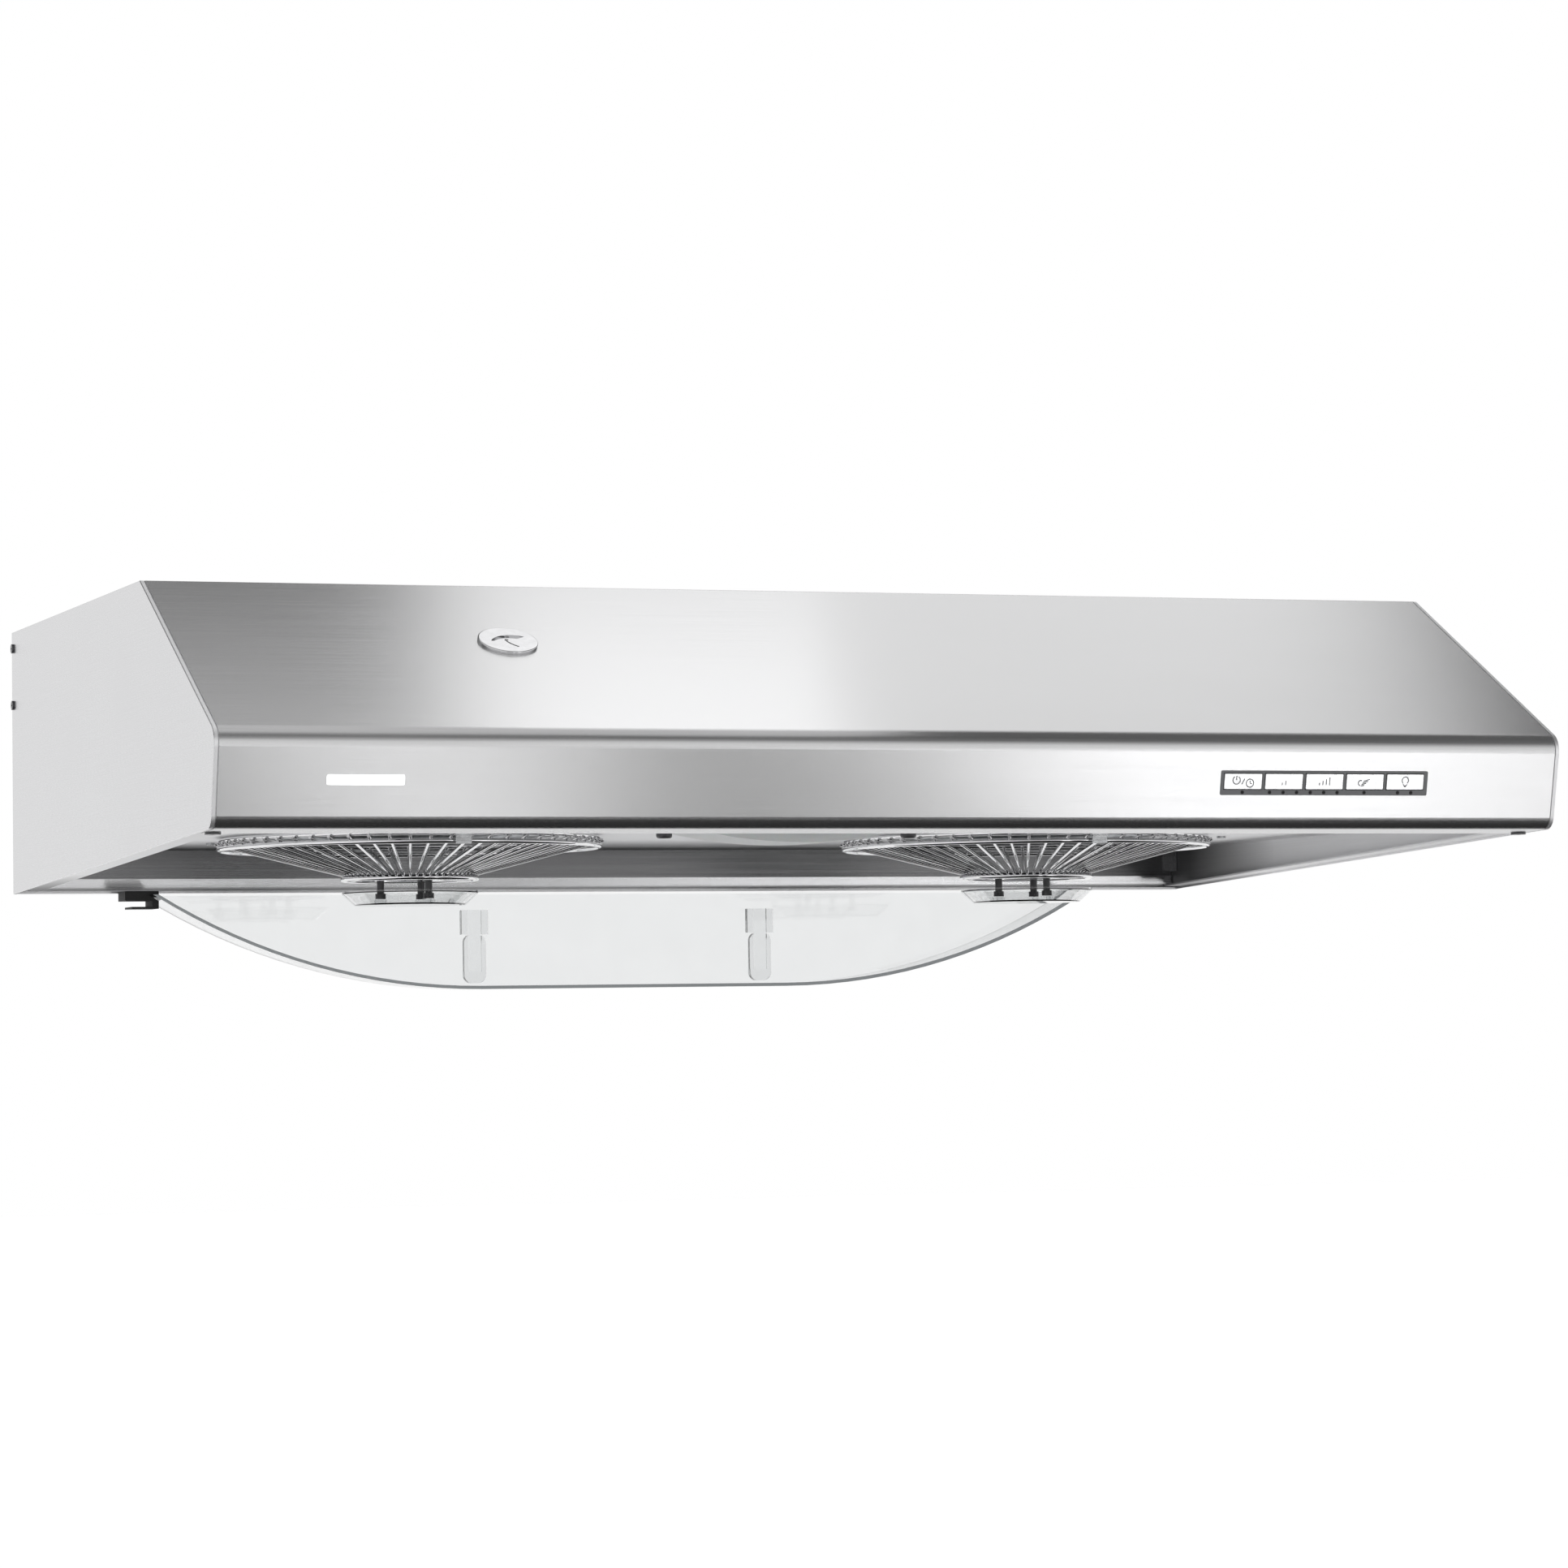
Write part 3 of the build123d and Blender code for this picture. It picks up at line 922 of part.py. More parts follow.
END_CLIP_X, END_CLIP_Y, END_CLIP_Z = (-316.5, -296), (150, 169.4), (-166.8, -156.2)
END_SLOT_X, END_SLOT_Z, END_LIP_X = -300, (-165.6, -162), -312.5
with BuildPart() as tray_end_clip:
    block(END_CLIP_X, END_CLIP_Y, END_CLIP_Z)
    block((END_CLIP_X[0], END_SLOT_X), END_CLIP_Y, END_SLOT_Z, Mode.SUBTRACT)
    block((END_CLIP_X[0], END_LIP_X), END_CLIP_Y, (END_CLIP_Z[0], END_SLOT_Z[0]), Mode.SUBTRACT)
    tray_outside = tray_section(TRAY_Y[1], -NEST, TRAY_RIM_Z + NEST)
    extrude(tray_outside, amount=TRAY_Y[1] - TRAY_Y[0], mode=Mode.SUBTRACT)
save(tray_end_clip, "tray_end_clip")

# ---------------------------------------------------------------- fasteners
SIDE_SCREW_LENGTH, SHEET_SCREW_LENGTH = 6, 5
with BuildPart() as case_screws:
    for side in (-1, 1):
        for plane in side_screw_planes(side):
            pan_screw(plane, SIDE_SCREW_LENGTH)
        pan_screw(base_plane(side * FRONT_SCREW_X, FRONT_SCREW_BACK), SHEET_SCREW_LENGTH, WIDE_HEAD_R)
save(case_screws, "case_screws")



def facing_down(x, y, z):
    """Level plane through a point, its normal pointing down."""
    return Plane(origin=(x, y, z), x_dir=(1, 0, 0), z_dir=(0, 0, -1))


with BuildPart() as blower_screws:
    for x, y in blower_screw_places:
        pan_screw(facing_down(x, y, DECK_Z), SHEET_SCREW_LENGTH)
    for side in (-1, 1):
        for step in range(MOTOR_SCREWS):
            angle = radians(step * 360 / MOTOR_SCREWS)
            if side < 0:
                angle = radians(180) - angle
            x = side * FAN_X + MOTOR_SCREW_CIRCLE * cos(angle)
            y = FAN_Y + MOTOR_SCREW_CIRCLE * sin(angle)
            pan_screw(facing_down(x, y, SCROLL_TOP), SHEET_SCREW_LENGTH)
save(blower_screws, "blower_screws")
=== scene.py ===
import json
import math

import bmesh
import bpy
from mathutils import Matrix, Vector


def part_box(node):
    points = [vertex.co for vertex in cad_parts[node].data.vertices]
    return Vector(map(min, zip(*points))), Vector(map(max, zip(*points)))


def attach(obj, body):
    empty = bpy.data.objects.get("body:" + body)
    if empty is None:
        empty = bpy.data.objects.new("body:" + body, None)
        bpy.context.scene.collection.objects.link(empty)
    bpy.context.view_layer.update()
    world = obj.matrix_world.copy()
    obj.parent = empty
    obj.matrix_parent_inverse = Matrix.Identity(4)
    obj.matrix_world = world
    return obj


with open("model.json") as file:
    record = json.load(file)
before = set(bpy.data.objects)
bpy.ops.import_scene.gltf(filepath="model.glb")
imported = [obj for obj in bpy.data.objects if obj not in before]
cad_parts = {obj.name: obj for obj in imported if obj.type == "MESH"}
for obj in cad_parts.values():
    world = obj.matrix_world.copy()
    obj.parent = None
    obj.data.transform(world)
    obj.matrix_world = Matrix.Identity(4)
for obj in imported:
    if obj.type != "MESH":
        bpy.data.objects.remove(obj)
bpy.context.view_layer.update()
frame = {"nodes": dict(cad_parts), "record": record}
cad_nodes = frame["nodes"]
record = frame["record"]
MM = 0.001


# ---------------------------------------------------------------- node helpers
class Surface:
    """A material's node tree, with short calls for the few kinds of node used here."""

    def __init__(self, name):
        self.material = bpy.data.materials.new(name)
        self.material.use_nodes = True
        self.tree = self.material.node_tree
        self.shader = self.tree.nodes["Principled BSDF"]
        coordinates = self.tree.nodes.new("ShaderNodeTexCoord")
        self.place = coordinates.outputs["Object"]

    def set(self, **values):
        """Set constants on the shader, such as set(Metallic=1, IOR=1.49)."""
        for key, value in values.items():
            self.shader.inputs[key.replace("_", " ")].default_value = value
        return self

    def link(self, output, key):
        self.tree.links.new(output, self.shader.inputs[key])

    def stretched(self, scale):
        """Object coordinates scaled per axis, in features per metre."""
        mapping = self.tree.nodes.new("ShaderNodeMapping")
        mapping.inputs["Scale"].default_value = scale
        self.tree.links.new(self.place, mapping.inputs["Vector"])
        return mapping.outputs["Vector"]

    def noise(self, scale, detail=3.0, rough=0.55):
        noise = self.tree.nodes.new("ShaderNodeTexNoise")
        noise.inputs["Scale"].default_value = 1.0
        noise.inputs["Detail"].default_value = detail
        noise.inputs["Roughness"].default_value = rough
        self.tree.links.new(self.stretched(scale), noise.inputs["Vector"])
        return noise.outputs["Fac"]

    def cells(self, scale, randomness=1.0):
        cells = self.tree.nodes.new("ShaderNodeTexVoronoi")
        cells.inputs["Scale"].default_value = 1.0
        cells.inputs["Randomness"].default_value = randomness
        self.tree.links.new(self.stretched(scale), cells.inputs["Vector"])
        return cells

    def span(self, value, low, high, from_low=0.3, from_high=0.7):
        """Map a texture value to low..high."""
        spread = self.tree.nodes.new("ShaderNodeMapRange")
        spread.inputs["From Min"].default_value = from_low
        spread.inputs["From Max"].default_value = from_high
        spread.inputs["To Min"].default_value = low
        spread.inputs["To Max"].default_value = high
        self.tree.links.new(value, spread.inputs["Value"])
        return spread.outputs["Result"]

    def colours(self, value, low, high, from_low=0.3, from_high=0.7):
        """A colour ramp between two colours."""
        ramp = self.tree.nodes.new("ShaderNodeValToRGB")
        ramp.color_ramp.elements[0].position = from_low
        ramp.color_ramp.elements[0].color = (*low, 1)
        ramp.color_ramp.elements[1].position = from_high
        ramp.color_ramp.elements[1].color = (*high, 1)
        self.tree.links.new(value, ramp.inputs["Fac"])
        return ramp.outputs["Color"]

    def math(self, operation, first, second):
        node = self.tree.nodes.new("ShaderNodeMath")
        node.operation = operation
        for socket, value in zip(node.inputs, (first, second)):
            if isinstance(value, (int, float)):
                socket.default_value = value
            else:
                self.tree.links.new(value, socket)
        return node.outputs["Value"]

    def position(self, axis):
        """One of the object's own coordinates, in metres."""
        split = self.tree.nodes.new("ShaderNodeSeparateXYZ")
        self.tree.links.new(self.place, split.inputs["Vector"])
        return split.outputs[axis]

    def blend(self, fac, first, second):
        """Mix two colours, from sockets or constants."""
        mix = self.tree.nodes.new("ShaderNodeMix")
        mix.data_type = "RGBA"
        self.tree.links.new(fac, mix.inputs[0])
        for socket, value in ((mix.inputs[6], first), (mix.inputs[7], second)):
            if isinstance(value, (tuple, list)):
                socket.default_value = (*value, 1)
            else:
                self.tree.links.new(value, socket)
        return mix.outputs[2]

    def bump(self, height, strength, distance):
        bump = self.tree.nodes.new("ShaderNodeBump")
        bump.inputs["Strength"].default_value = strength
        bump.inputs["Distance"].default_value = distance
        self.tree.links.new(height, bump.inputs["Height"])
        self.link(bump.outputs["Normal"], "Normal")


# ---------------------------------------------------------------- materials
# painted reflection: the hem at the foot of the back wall is painted this bright, as if it caught the pale
# floor
BRIGHT_SHEET = (0.66, 0.66, 0.67), (0.74, 0.74, 0.75)
BRIGHT_EDGE = 0.0006  # height over which the painted reflection on the hem fades into the darker wall
# painted shade towards the wall and a painted reflection towards the front, on the inside of a side panel
SHADED_INSIDE_SHEET = (0.13, 0.13, 0.135), (0.19, 0.19, 0.195)
LIT_INSIDE_SHEET = (0.84, 0.84, 0.85), (0.90, 0.90, 0.91)
INSIDE_SHADING = 0.02, 0.15  # depth along the hood where the painted shade on the inside starts, and where it is full
DULL_ROUGHER = 0.25  # what the inside adds to the roughness


def brushed(name, dark, light, grain, rough, strength, across=None, painted_reflection_below=None, painted_shade_within=None):
    """Brushed stainless: faint streaks drawn out along one axis, over slow clouding.

    With across, the highlights are spread about that axis. Below the height given for the hem the sheet is
    painted bright, a painted reflection of the pale floor. Nearer the middle of the hood than the given
    half-width it is the inside of a side panel, with a painted reflection near the front and painted shade
    towards the wall.
    """
    surface = Surface(name).set(Metallic=1.0)
    streaks = surface.noise(grain, detail=5.0, rough=0.7)
    clouds = surface.noise((5, 9, 9), detail=2.0)
    streak_part = surface.math("MULTIPLY", streaks, 0.7)
    cloud_part = surface.math("MULTIPLY", clouds, 0.3)
    mixed = surface.math("ADD", streak_part, cloud_part)
    sheet = surface.colours(mixed, dark, light)
    # painted reflection: below this height the hem is painted bright, as if it caught the pale floor
    if painted_reflection_below:
        foot = surface.span(surface.position("Z"), 0.0, 1.0, painted_reflection_below, painted_reflection_below + BRIGHT_EDGE)
        bright = surface.colours(mixed, *BRIGHT_SHEET)
        sheet = surface.blend(foot, bright, sheet)
    roughness = surface.span(mixed, rough[0], rough[1])
    # a painted reflection near the front of a side panel's inside, and painted shade towards the wall
    if painted_shade_within:
        from_middle = surface.math("ABSOLUTE", surface.position("X"), 0.0)
        inside = surface.math("LESS_THAN", from_middle, painted_shade_within)
        depth = surface.span(surface.position("Y"), 0.0, 1.0, *INSIDE_SHADING)
        painted_shade = surface.colours(mixed, *SHADED_INSIDE_SHEET)
        clean = surface.colours(mixed, *LIT_INSIDE_SHEET)
        sheet = surface.blend(inside, sheet, surface.blend(depth, clean, painted_shade))
        roughness = surface.math("ADD", roughness, surface.math("MULTIPLY", inside, DULL_ROUGHER))
    surface.link(sheet, "Base Color")
    surface.link(roughness, "Roughness")
    surface.bump(streaks, strength, 0.00006)
    if across:
        tangent = surface.tree.nodes.new("ShaderNodeTangent")
        tangent.direction_type = "RADIAL"
        tangent.axis = across
        surface.link(tangent.outputs["Tangent"], "Tangent")
        surface.set(Anisotropic=0.75)
    return surface.material


def polished(name, colour, rough, strength=0.05):
    """Bright metal with faint polishing haze."""
    surface = Surface(name).set(Metallic=1.0)
    haze = surface.noise((260, 260, 260), detail=4.0)
    surface.link(surface.colours(haze, [c * 0.93 for c in colour], colour), "Base Color")
    surface.link(surface.span(haze, rough[0], rough[1]), "Roughness")
    surface.bump(surface.noise((900, 900, 900)), strength, 0.00005)
    return surface.material


def spangled(name, dark, light):
    """Hot-dip zinc: angular crystals of slightly different grey."""
    surface = Surface(name).set(Metallic=1.0)
    crystals = surface.cells((110, 110, 110))
    split = surface.tree.nodes.new("ShaderNodeSeparateColor")
    surface.tree.links.new(crystals.outputs["Color"], split.inputs["Color"])
    tone = split.outputs["Red"]
    surface.link(surface.colours(tone, dark, light, 0.0, 1.0), "Base Color")
    surface.link(surface.span(tone, 0.28, 0.48, 0.0, 1.0), "Roughness")
    surface.bump(surface.noise((700, 700, 700)), 0.15, 0.0001)
    return surface.material


def moulded(name, colour, rough=(0.42, 0.58), grain=1500, strength=0.25):
    """Moulded plastic or rubber with a fine spark-eroded texture."""
    surface = Surface(name)
    speckle = surface.noise((grain, grain, grain), detail=2.0)
    cloud = surface.noise((35, 35, 35), detail=2.0)
    surface.link(surface.colours(cloud, [c * 0.9 for c in colour], colour), "Base Color")
    surface.link(surface.span(speckle, rough[0], rough[1]), "Roughness")
    surface.bump(speckle, strength, 0.0001)
    return surface.material


def enamelled(name, colour):
    """Thick enamel with a soft orange-peel surface."""
    surface = Surface(name).set(Coat_Weight=0.4, Coat_Roughness=0.12)
    peel = surface.noise((450, 450, 450), detail=1.0)
    cloud = surface.noise((60, 60, 60))
    surface.link(surface.colours(cloud, [c * 0.8 for c in colour], colour), "Base Color")
    surface.link(surface.span(peel, 0.3, 0.45), "Roughness")
    surface.bump(peel, 0.3, 0.0001)
    return surface.material


def clear(name, colour, rough, haze_scale, smoke):
    """Clear moulded plastic with slight flow marks, its thickness smoke-grey seen edge on."""
    surface = Surface(name).set(Transmission_Weight=1.0, IOR=1.46)
    absorb = surface.tree.nodes.new("ShaderNodeVolumeAbsorption")
    absorb.inputs["Color"].default_value = (0.45, 0.47, 0.48, 1)
    absorb.inputs["Density"].default_value = smoke
    output = surface.tree.nodes["Material Output"]
    surface.tree.links.new(absorb.outputs["Volume"], output.inputs["Volume"])
    flow = surface.noise(haze_scale, detail=2.0)
    surface.link(surface.colours(flow, [c * 0.985 for c in colour], colour), "Base Color")
    surface.link(surface.span(flow, rough[0], rough[1]), "Roughness")
    surface.bump(flow, 0.08, 0.0003)
    return surface.material


def frosted(name, colour):
    """Milky lamp cover with a fine prismatic surface."""
    surface = Surface(name).set(Transmission_Weight=0.35, IOR=1.46, Subsurface_Weight=0.15)
    ribs = surface.noise((1200, 1200, 1200), detail=1.0)
    surface.link(surface.colours(ribs, [c * 0.96 for c in colour], colour), "Base Color")
    surface.link(surface.span(ribs, 0.3, 0.5), "Roughness")
    surface.bump(ribs, 0.3, 0.0002)
    return surface.material


def circuit(name, dark, light):
    """A printed board: solder mask with faint tracks."""
    surface = Surface(name).set(Coat_Weight=0.3)
    tracks = surface.cells((260, 260, 900), randomness=0.4)
    surface.link(surface.colours(tracks.outputs["Distance"], dark, light, 0.25, 0.5), "Base Color")
    surface.link(surface.span(tracks.outputs["Distance"], 0.3, 0.5), "Roughness")
    surface.bump(tracks.outputs["Distance"], 0.2, 0.0001)
    return surface.material


# streaks per metre across and along the brushing
FINE, LONG = 1500, 9
ALONG_X = (LONG, FINE, FINE)
ALONG_Y = (FINE, LONG, FINE)
# top of the hem band that is painted bright, a painted reflection
HEM_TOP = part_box("back_panel")[0][2] + 8.8 * MM
SIDE_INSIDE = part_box("right_side_panel")[1][0] - 0.5 * MM  # halfway through a side panel's sheet
materials = {
    "brushed_stainless": brushed(
        "brushed_stainless", (0.555, 0.555, 0.56), (0.645, 0.645, 0.65), ALONG_X, (0.20, 0.27), 0.22, "X"),
    # inside the hood this sheet carries a painted reflection near the front and painted shade towards the
    # wall
    "satin_stainless": brushed(
        "satin_stainless", (0.59, 0.59, 0.60), (0.66, 0.66, 0.67), ALONG_Y, (0.24, 0.30), 0.08,
        painted_shade_within=SIDE_INSIDE),
    # the back wall's sheet is painted darker than the other stainless, as painted shade inside the hood; its
    # hem is painted bright as a painted reflection
    "dark_stainless": brushed(
        "dark_stainless", (0.20, 0.20, 0.205), (0.32, 0.32, 0.325), ALONG_X, (0.20, 0.30), 0.22, "X",
        painted_reflection_below=HEM_TOP),
    "galvanised": spangled("galvanised", (0.48, 0.50, 0.52), (0.66, 0.68, 0.70)),
    "motor_shell": enamelled("motor_shell", (0.05, 0.05, 0.055)),
    "impeller_steel": enamelled("impeller_steel", (0.13, 0.13, 0.14)),
    "zinc_steel": polished("zinc_steel", (0.72, 0.73, 0.74), (0.18, 0.32), 0.12),
    "chrome_wire": polished("chrome_wire", (0.80, 0.80, 0.81), (0.02, 0.06), 0.02),
    "dark_post": enamelled("dark_post", (0.03, 0.03, 0.035)),
    "dark_screw": enamelled("dark_screw", (0.035, 0.035, 0.04)),
    "polished_trim": polished("polished_trim", (0.63, 0.63, 0.64), (0.05, 0.12)),
    "bezel_grey": moulded("bezel_grey", (0.19, 0.193, 0.20)),
    "button_silver": polished("button_silver", (0.62, 0.62, 0.63), (0.20, 0.30), 0.10),
    "indicator_black": moulded("indicator_black", (0.012, 0.012, 0.012), (0.65, 0.80), 900, 0.05),
    "board_green": circuit("board_green", (0.01, 0.09, 0.035), (0.03, 0.20, 0.09)),
    "board_white": circuit("board_white", (0.70, 0.70, 0.68), (0.82, 0.82, 0.80)),
    "white_plastic": moulded("white_plastic", (0.78, 0.78, 0.76)),
    "black_plastic": moulded("black_plastic", (0.03, 0.03, 0.03)),
    "black_rubber": moulded("black_rubber", (0.02, 0.02, 0.02), (0.6, 0.75), 1100, 0.35),
    "hose_clear": clear("hose_clear", (0.86, 0.89, 0.90), (0.2, 0.35), (120, 120, 120), 30),
    "lead_grey": moulded("lead_grey", (0.12, 0.12, 0.125), (0.4, 0.55), 1300, 0.2),
    "lens_frosted": frosted("lens_frosted", (0.93, 0.93, 0.92)),
    "clear_plastic": clear("clear_plastic", (0.995, 0.998, 0.998), (0.01, 0.04), (45, 45, 45), 80),
}

for part in record["subparts"]:
    shown = cad_nodes[part["node"]]
    shown.data.materials.clear()
    shown.data.materials.append(materials[part["material_slot"]])


# ---------------------------------------------------------------- symbols on the keys and the cap
def unit(x, y, z):
    return Vector((x, y, z)).normalized()


def face_frame(node, outward):
    """Frame on a node's outermost face: X along the hood, Y up the panel, Z outward."""
    shown = cad_nodes[node]
    points = [shown.matrix_world @ vertex.co for vertex in shown.data.vertices]
    top = max(point.dot(outward) for point in points)
    face = [point for point in points if top - point.dot(outward) < 0.02 * MM]
    low = Vector([min(point[axis] for point in face) for axis in range(3)])
    high = Vector([max(point[axis] for point in face) for axis in range(3)])
    centre = (low + high) / 2
    centre += outward * (top - centre.dot(outward))
    along = Vector((1, 0, 0))
    turn = Matrix((along, outward.cross(along), outward)).transposed().to_4x4()
    return Matrix.Translation(centre) @ turn


def stroke(bm, place, points, width, rise, closed=False):
    """Add a raised line through the points, in millimetres on the face, as a closed solid."""
    count = len(points)
    rows = []
    for index, point in enumerate(points):
        before = points[(index - 1) % count] if closed else points[max(index - 1, 0)]
        after = points[(index + 1) % count] if closed else points[min(index + 1, count - 1)]
        run = Vector((after[0] - before[0], after[1] - before[1])).normalized()
        side = Vector((-run.y, run.x)) * width / 2
        row = []
        for sign, height in ((1, rise), (-1, rise), (-1, -SINK), (1, -SINK)):
            corner = Vector((point[0] + sign * side.x, point[1] + sign * side.y, height))
            row.append(bm.verts.new(place @ (corner * MM)))
        rows.append(row)
    steps = count if closed else count - 1
    for index in range(steps):
        here, there = rows[index], rows[(index + 1) % count]
        for corner in range(4):
            follow = (corner + 1) % 4
            bm.faces.new((here[corner], here[follow], there[follow], there[corner]))
    if not closed:
        bm.faces.new(rows[0][::-1])
        bm.faces.new(rows[-1])


def arc(centre, radius, start, end, steps=14):
    """Points along an arc, angles in degrees from the X axis."""
    angles = [math.radians(start + (end - start) * step / steps) for step in range(steps + 1)]
    return [(centre[0] + radius * math.cos(a), centre[1] + radius * math.sin(a)) for a in angles]


def symbol(name, node, outward, strokes, body, slot, width, rise):
    """A piece made of raised strokes on one face of a CAD node."""
    place = face_frame(node, outward)
    bm = bmesh.new()
    for points, closed in strokes:
        stroke(bm, place, points, width, rise, closed)
    bmesh.ops.recalc_face_normals(bm, faces=bm.faces)
    mesh = bpy.data.meshes.new(name)
    bm.to_mesh(mesh)
    bm.free()
    piece = bpy.data.objects.new(name, mesh)
    bpy.context.scene.collection.objects.link(piece)
    mesh.materials.append(materials[slot])
    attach(piece, body)


SINK = 0.05  # depth of a stroke below the face it stands on
KEY_LINE, KEY_RISE = 0.60, 0.05  # width and height of a stroke on a key
CAP_LINE, CAP_RISE = 0.8, 0.12
# square to the fascia and to the slope, from each panel's drop and run in millimetres
FASCIA_OUT = unit(0, -48.4, -10.7)
SLOPE_OUT = unit(0, -91, 173)
POWER_AT, CLOCK_AT, RING_R = (-4.0, 0.7), (4.0, -0.9), 2.2
BULB_AT, BULB_R = (0, 0.9), 1.9
BAR_PITCH, BAR_FOOT = 2, -2
ring = arc((0, 0), 1, 0, 360, 24)[:-1]


def bars(heights):
    """Rising bars of a speed sign, side by side."""
    strokes = []
    for index, height in enumerate(heights):
        x = BAR_PITCH * (index - (len(heights) - 1) / 2)
        strokes.append(([(x, BAR_FOOT), (x, BAR_FOOT + height)], False))
    return strokes


power_sign = [
    (arc(POWER_AT, RING_R, 120, 420), False),
    ([POWER_AT, (POWER_AT[0], POWER_AT[1] + RING_R + 0.2)], False),
    ([(-0.8, -1.6), (0.8, 1.6)], False),
    ([(CLOCK_AT[0] + RING_R * x, CLOCK_AT[1] + RING_R * y) for x, y in ring], True),
    ([(CLOCK_AT[0], CLOCK_AT[1] + 1.4), CLOCK_AT, (CLOCK_AT[0] + 1.2, CLOCK_AT[1] - 0.3)], False),
]
bulb_sign = [
    (arc(BULB_AT, BULB_R, -55, 235, 20), False),
    ([(-1.1, -1.0), (-0.8, -2.0), (0.8, -2.0), (1.1, -1.0)], False),
    ([(-0.6, -2.6), (0.6, -2.6)], False),
]
spray_sign = []
for jet in range(4):
    nozzle = (-2.4 + 0.5 * jet, -2.3 + 0.9 * jet)
    tip = (-0.2 + 1.0 * jet, -1.9 + 1.1 * jet)
    spray_sign.append(([nozzle, tip], False))
spray_sign.append((arc((-2.6, -0.6), 1.4, 60, 260), False))
keys = {
    "power_timer": power_sign,
    "low_speed": bars((1.5, 2.6)),
    "high_speed": bars((1.5, 2.6, 3.6, 4.4)),
    "clean": spray_sign,
    "light": bulb_sign,
}
for key, strokes in keys.items():
    node, body = f"{key}_button", f"{key}_key"
    symbol(f"{key}_sign", node, FASCIA_OUT, strokes, body, "bezel_grey", KEY_LINE, KEY_RISE)

swirl = [(-1.1, 0.2), (-1.3, -1.4), (-0.9, -3.2), (0.2, -5.4), (1.8, -7.6), (3.6, -9.3)]
dot = [(0.4 + 0.75 * x, 3.5 + 0.75 * y) for x, y in arc((0, 0), 1, 0, 360, 12)[:-1]]
cap_strokes = [(swirl, False), (dot, True)]
symbol(
    "cap_sign", "cleaner_inlet_cap", SLOPE_OUT, cap_strokes, "inlet_cap", "dark_screw", CAP_LINE, CAP_RISE
)


# ---------------------------------------------------------------- stage, light and camera
FLOOR_Z = -2.4  # low enough that a view from below isn't cut off by the floor
FLOOR_HALF, FLOOR_GLOW = 60, 0.76
CARD_Z = -0.93  # height of the cards that only reflections see
CAMERA_AT = Vector((-0.9612, -2.8656, -0.2454))
CAMERA_AZIMUTH, CAMERA_ELEVATION, CAMERA_ROLL = 19.417, 2.768, -0.783
LENS, SENSOR = 117.58, 36.0


def camera_turn(azimuth, elevation, roll=0.0):
    """Rotation of a camera that looks along +Y turned by azimuth to the right and up by elevation."""
    turn = Matrix.Rotation(math.radians(-azimuth), 4, "Z")
    lift = Matrix.Rotation(math.radians(90 + elevation), 4, "X")
    return turn @ lift @ Matrix.Rotation(math.radians(roll), 4, "Z")


camera_data = bpy.data.cameras.new("camera")
camera_data.lens = LENS
camera_data.sensor_width = SENSOR
camera_data.clip_end = 200
camera = bpy.data.objects.new("camera", camera_data)
bpy.context.scene.collection.objects.link(camera)
camera_rotation = camera_turn(CAMERA_AZIMUTH, CAMERA_ELEVATION, CAMERA_ROLL)
camera.matrix_world = Matrix.Translation(CAMERA_AT) @ camera_rotation
bpy.context.scene.camera = camera
bpy.context.scene.view_settings.view_transform = "Standard"


def level_sheet(name, z, spans_x, span_y, material):
    """A stage thing of level rectangles side by side, each a (low, high) along X."""
    corners = []
    faces = []
    for low, high in spans_x:
        first = len(corners)
        corners += [(low, span_y[0], z), (high, span_y[0], z), (high, span_y[1], z), (low, span_y[1], z)]
        faces.append((first, first + 1, first + 2, first + 3))
    mesh = bpy.data.meshes.new(name)
    mesh.from_pydata(corners, [], faces)
    mesh.materials.append(material)
    sheet = bpy.data.objects.new(name, mesh)
    bpy.context.scene.collection.objects.link(sheet)
    return sheet


pale = Surface("pale_floor").set(Roughness=0.9)
pale.link(pale.colours(pale.noise((0.6, 0.6, 0.6)), (0.93, 0.93, 0.93), (0.95, 0.95, 0.95)), "Base Color")
pale.set(Emission_Color=(1, 1, 1, 1), Emission_Strength=FLOOR_GLOW)
floor_span = (-FLOOR_HALF, FLOOR_HALF)
level_sheet("floor", FLOOR_Z, [floor_span], floor_span, pale.material)

world = bpy.data.worlds.new("studio")
bpy.context.scene.world = world
world.use_nodes = True
sky = world.node_tree
background = sky.nodes["Background"]

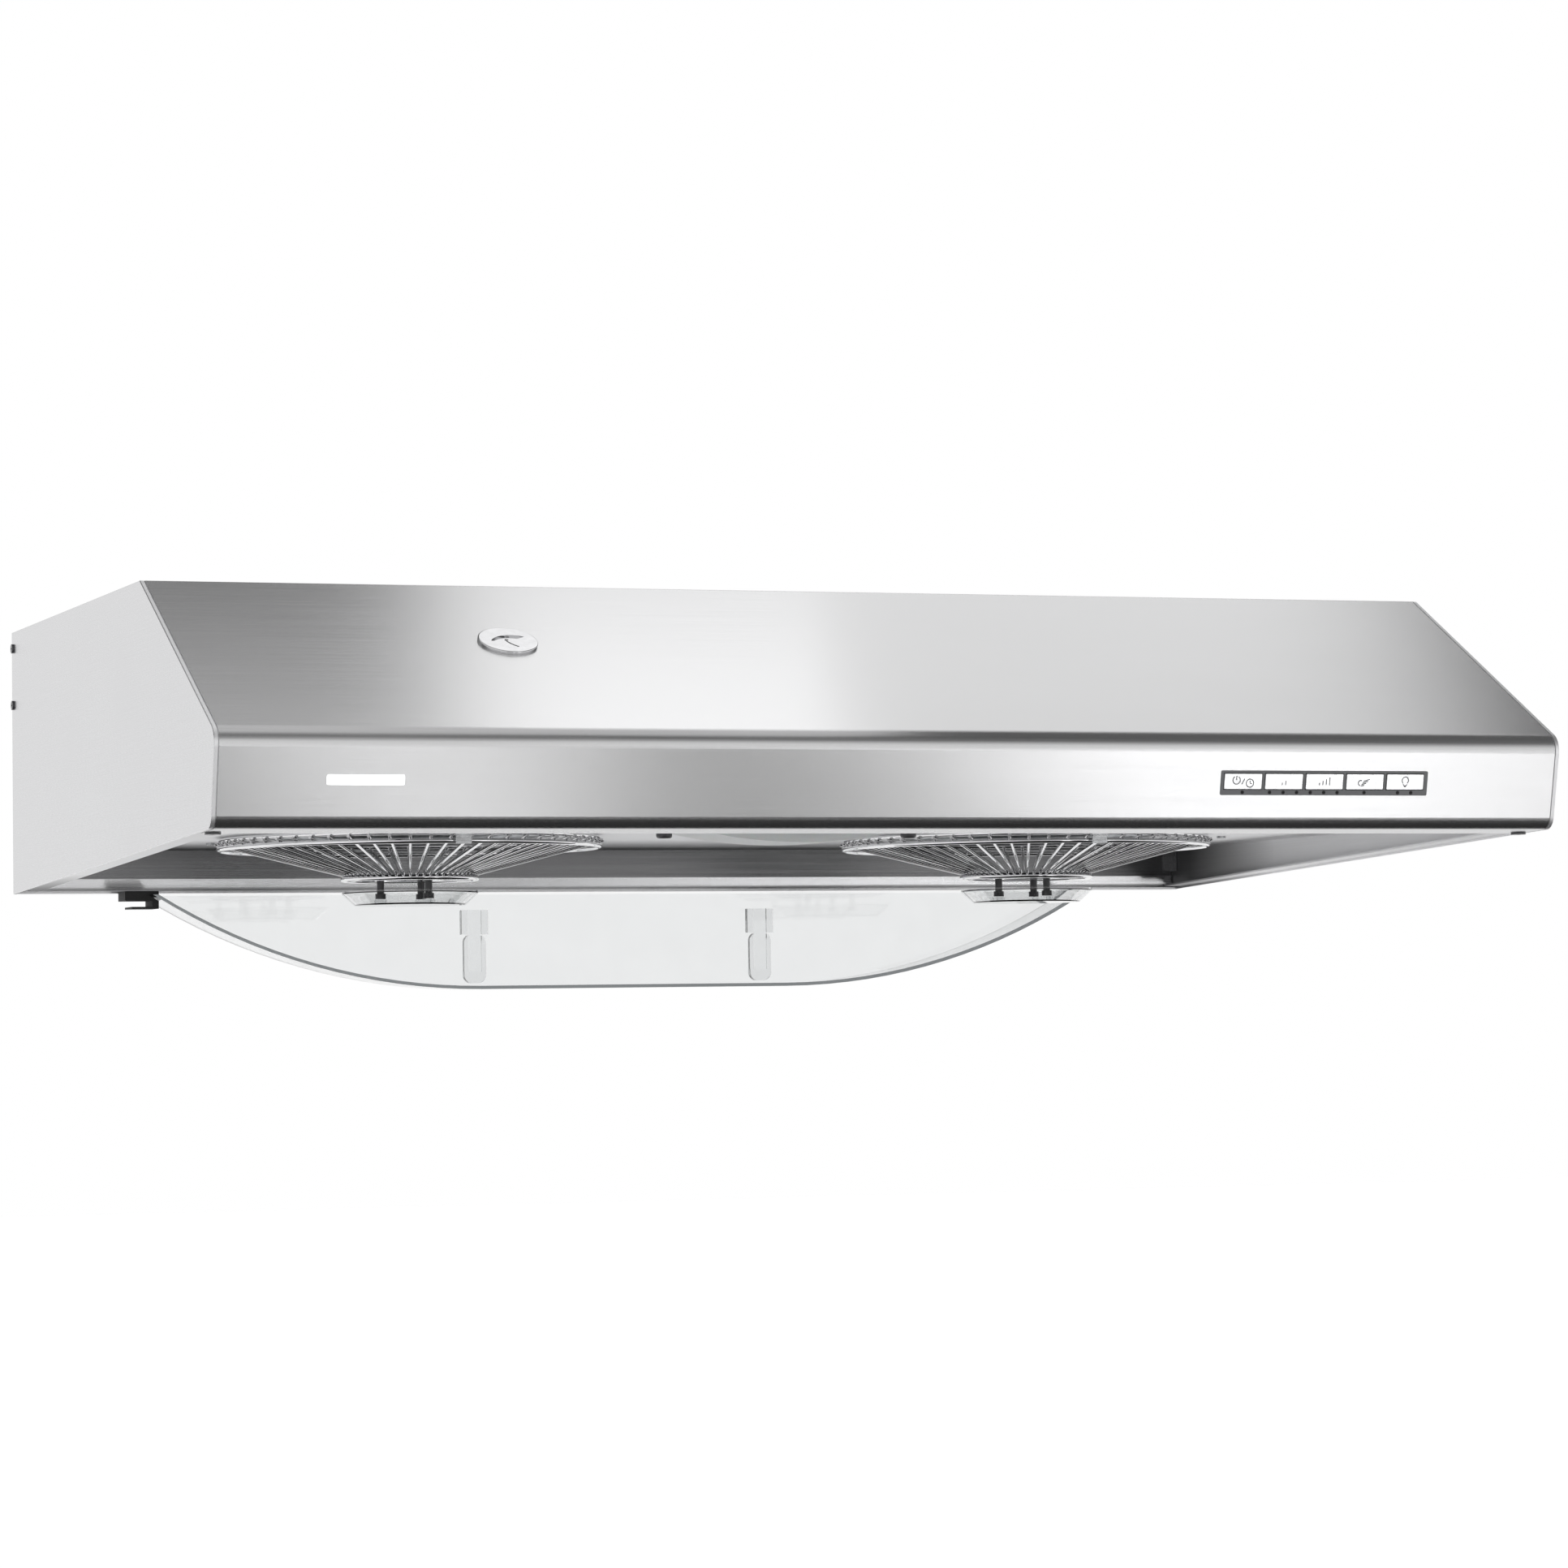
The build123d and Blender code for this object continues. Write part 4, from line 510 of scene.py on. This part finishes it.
# the sky is white at the horizon and below, and fades to grey overhead
SKY_FADE = {"From Min": 0.20, "From Max": 0.60, "To Min": 1.0, "To Max": 0.13}
direction = sky.nodes.new("ShaderNodeTexCoord")
split = sky.nodes.new("ShaderNodeSeparateXYZ")
sky.links.new(direction.outputs["Generated"], split.inputs["Vector"])
overhead = sky.nodes.new("ShaderNodeMapRange")
overhead.interpolation_type = "SMOOTHSTEP"
for key, number in SKY_FADE.items():
    overhead.inputs[key].default_value = number
sky.links.new(split.outputs["Z"], overhead.inputs["Value"])
sky.links.new(overhead.outputs["Result"], background.inputs["Color"])
background.inputs["Strength"].default_value = 1.0


def softbox(name, at, look_at, size, radiance):
    """A rectangular area light of even radiance that the camera itself doesn't see.

    look_at is a hair off the line straight up or down, which settles how the light is turned.
    """
    lamp_data = bpy.data.lights.new(name, "AREA")
    lamp_data.shape = "RECTANGLE"
    lamp_data.size, lamp_data.size_y = size
    lamp_data.energy = radiance * math.pi * size[0] * size[1]
    lamp = bpy.data.objects.new(name, lamp_data)
    bpy.context.scene.collection.objects.link(lamp)
    at = Vector(at)
    aim = (Vector(look_at) - at).to_track_quat("-Z", "Y").to_matrix().to_4x4()
    lamp.matrix_world = Matrix.Translation(at) @ aim
    lamp.visible_camera = False


softbox("high_softbox", at=(0.68, 0.78, 1.2), look_at=(0.68, 0.77, 0), size=(0.95, 1.1), radiance=1.15)
softbox("low_softbox", at=(-0.28, -0.28, 0.45), look_at=(-0.28, -0.281, 0), size=(0.95, 0.80), radiance=0.60)
for name, x, width, radiance in (("right_floor_card", 1.27, 0.72, 2.5), ("left_floor_card", 0.34, 0.24, 2.0)):
    softbox(name, at=(x, -2.5, CARD_Z), look_at=(x, -2.499, 0), size=(width, 1.4), radiance=radiance)


def reflected_card(name, spans_x, span_y, material):
    """A card below the hood for reflections only: the camera doesn't see it, and it has no shadow."""
    card = level_sheet(name, CARD_Z, spans_x, span_y, material)
    card.visible_camera = False
    card.visible_shadow = False


CARD_ROUGH = (0.8, 0.9)
shade_material = moulded("shade_card", (0.015, 0.015, 0.015), CARD_ROUGH)
reflected_card("shade_card", [(-0.9, 1.9)], (-1.95, 0.6), shade_material)
grey_material = moulded("grey_card", (0.52, 0.52, 0.52), CARD_ROUGH)
reflected_card("grey_cards", [(-0.9, 0.16), (0.50, 0.90)], (-3.3, -1.96), grey_material)
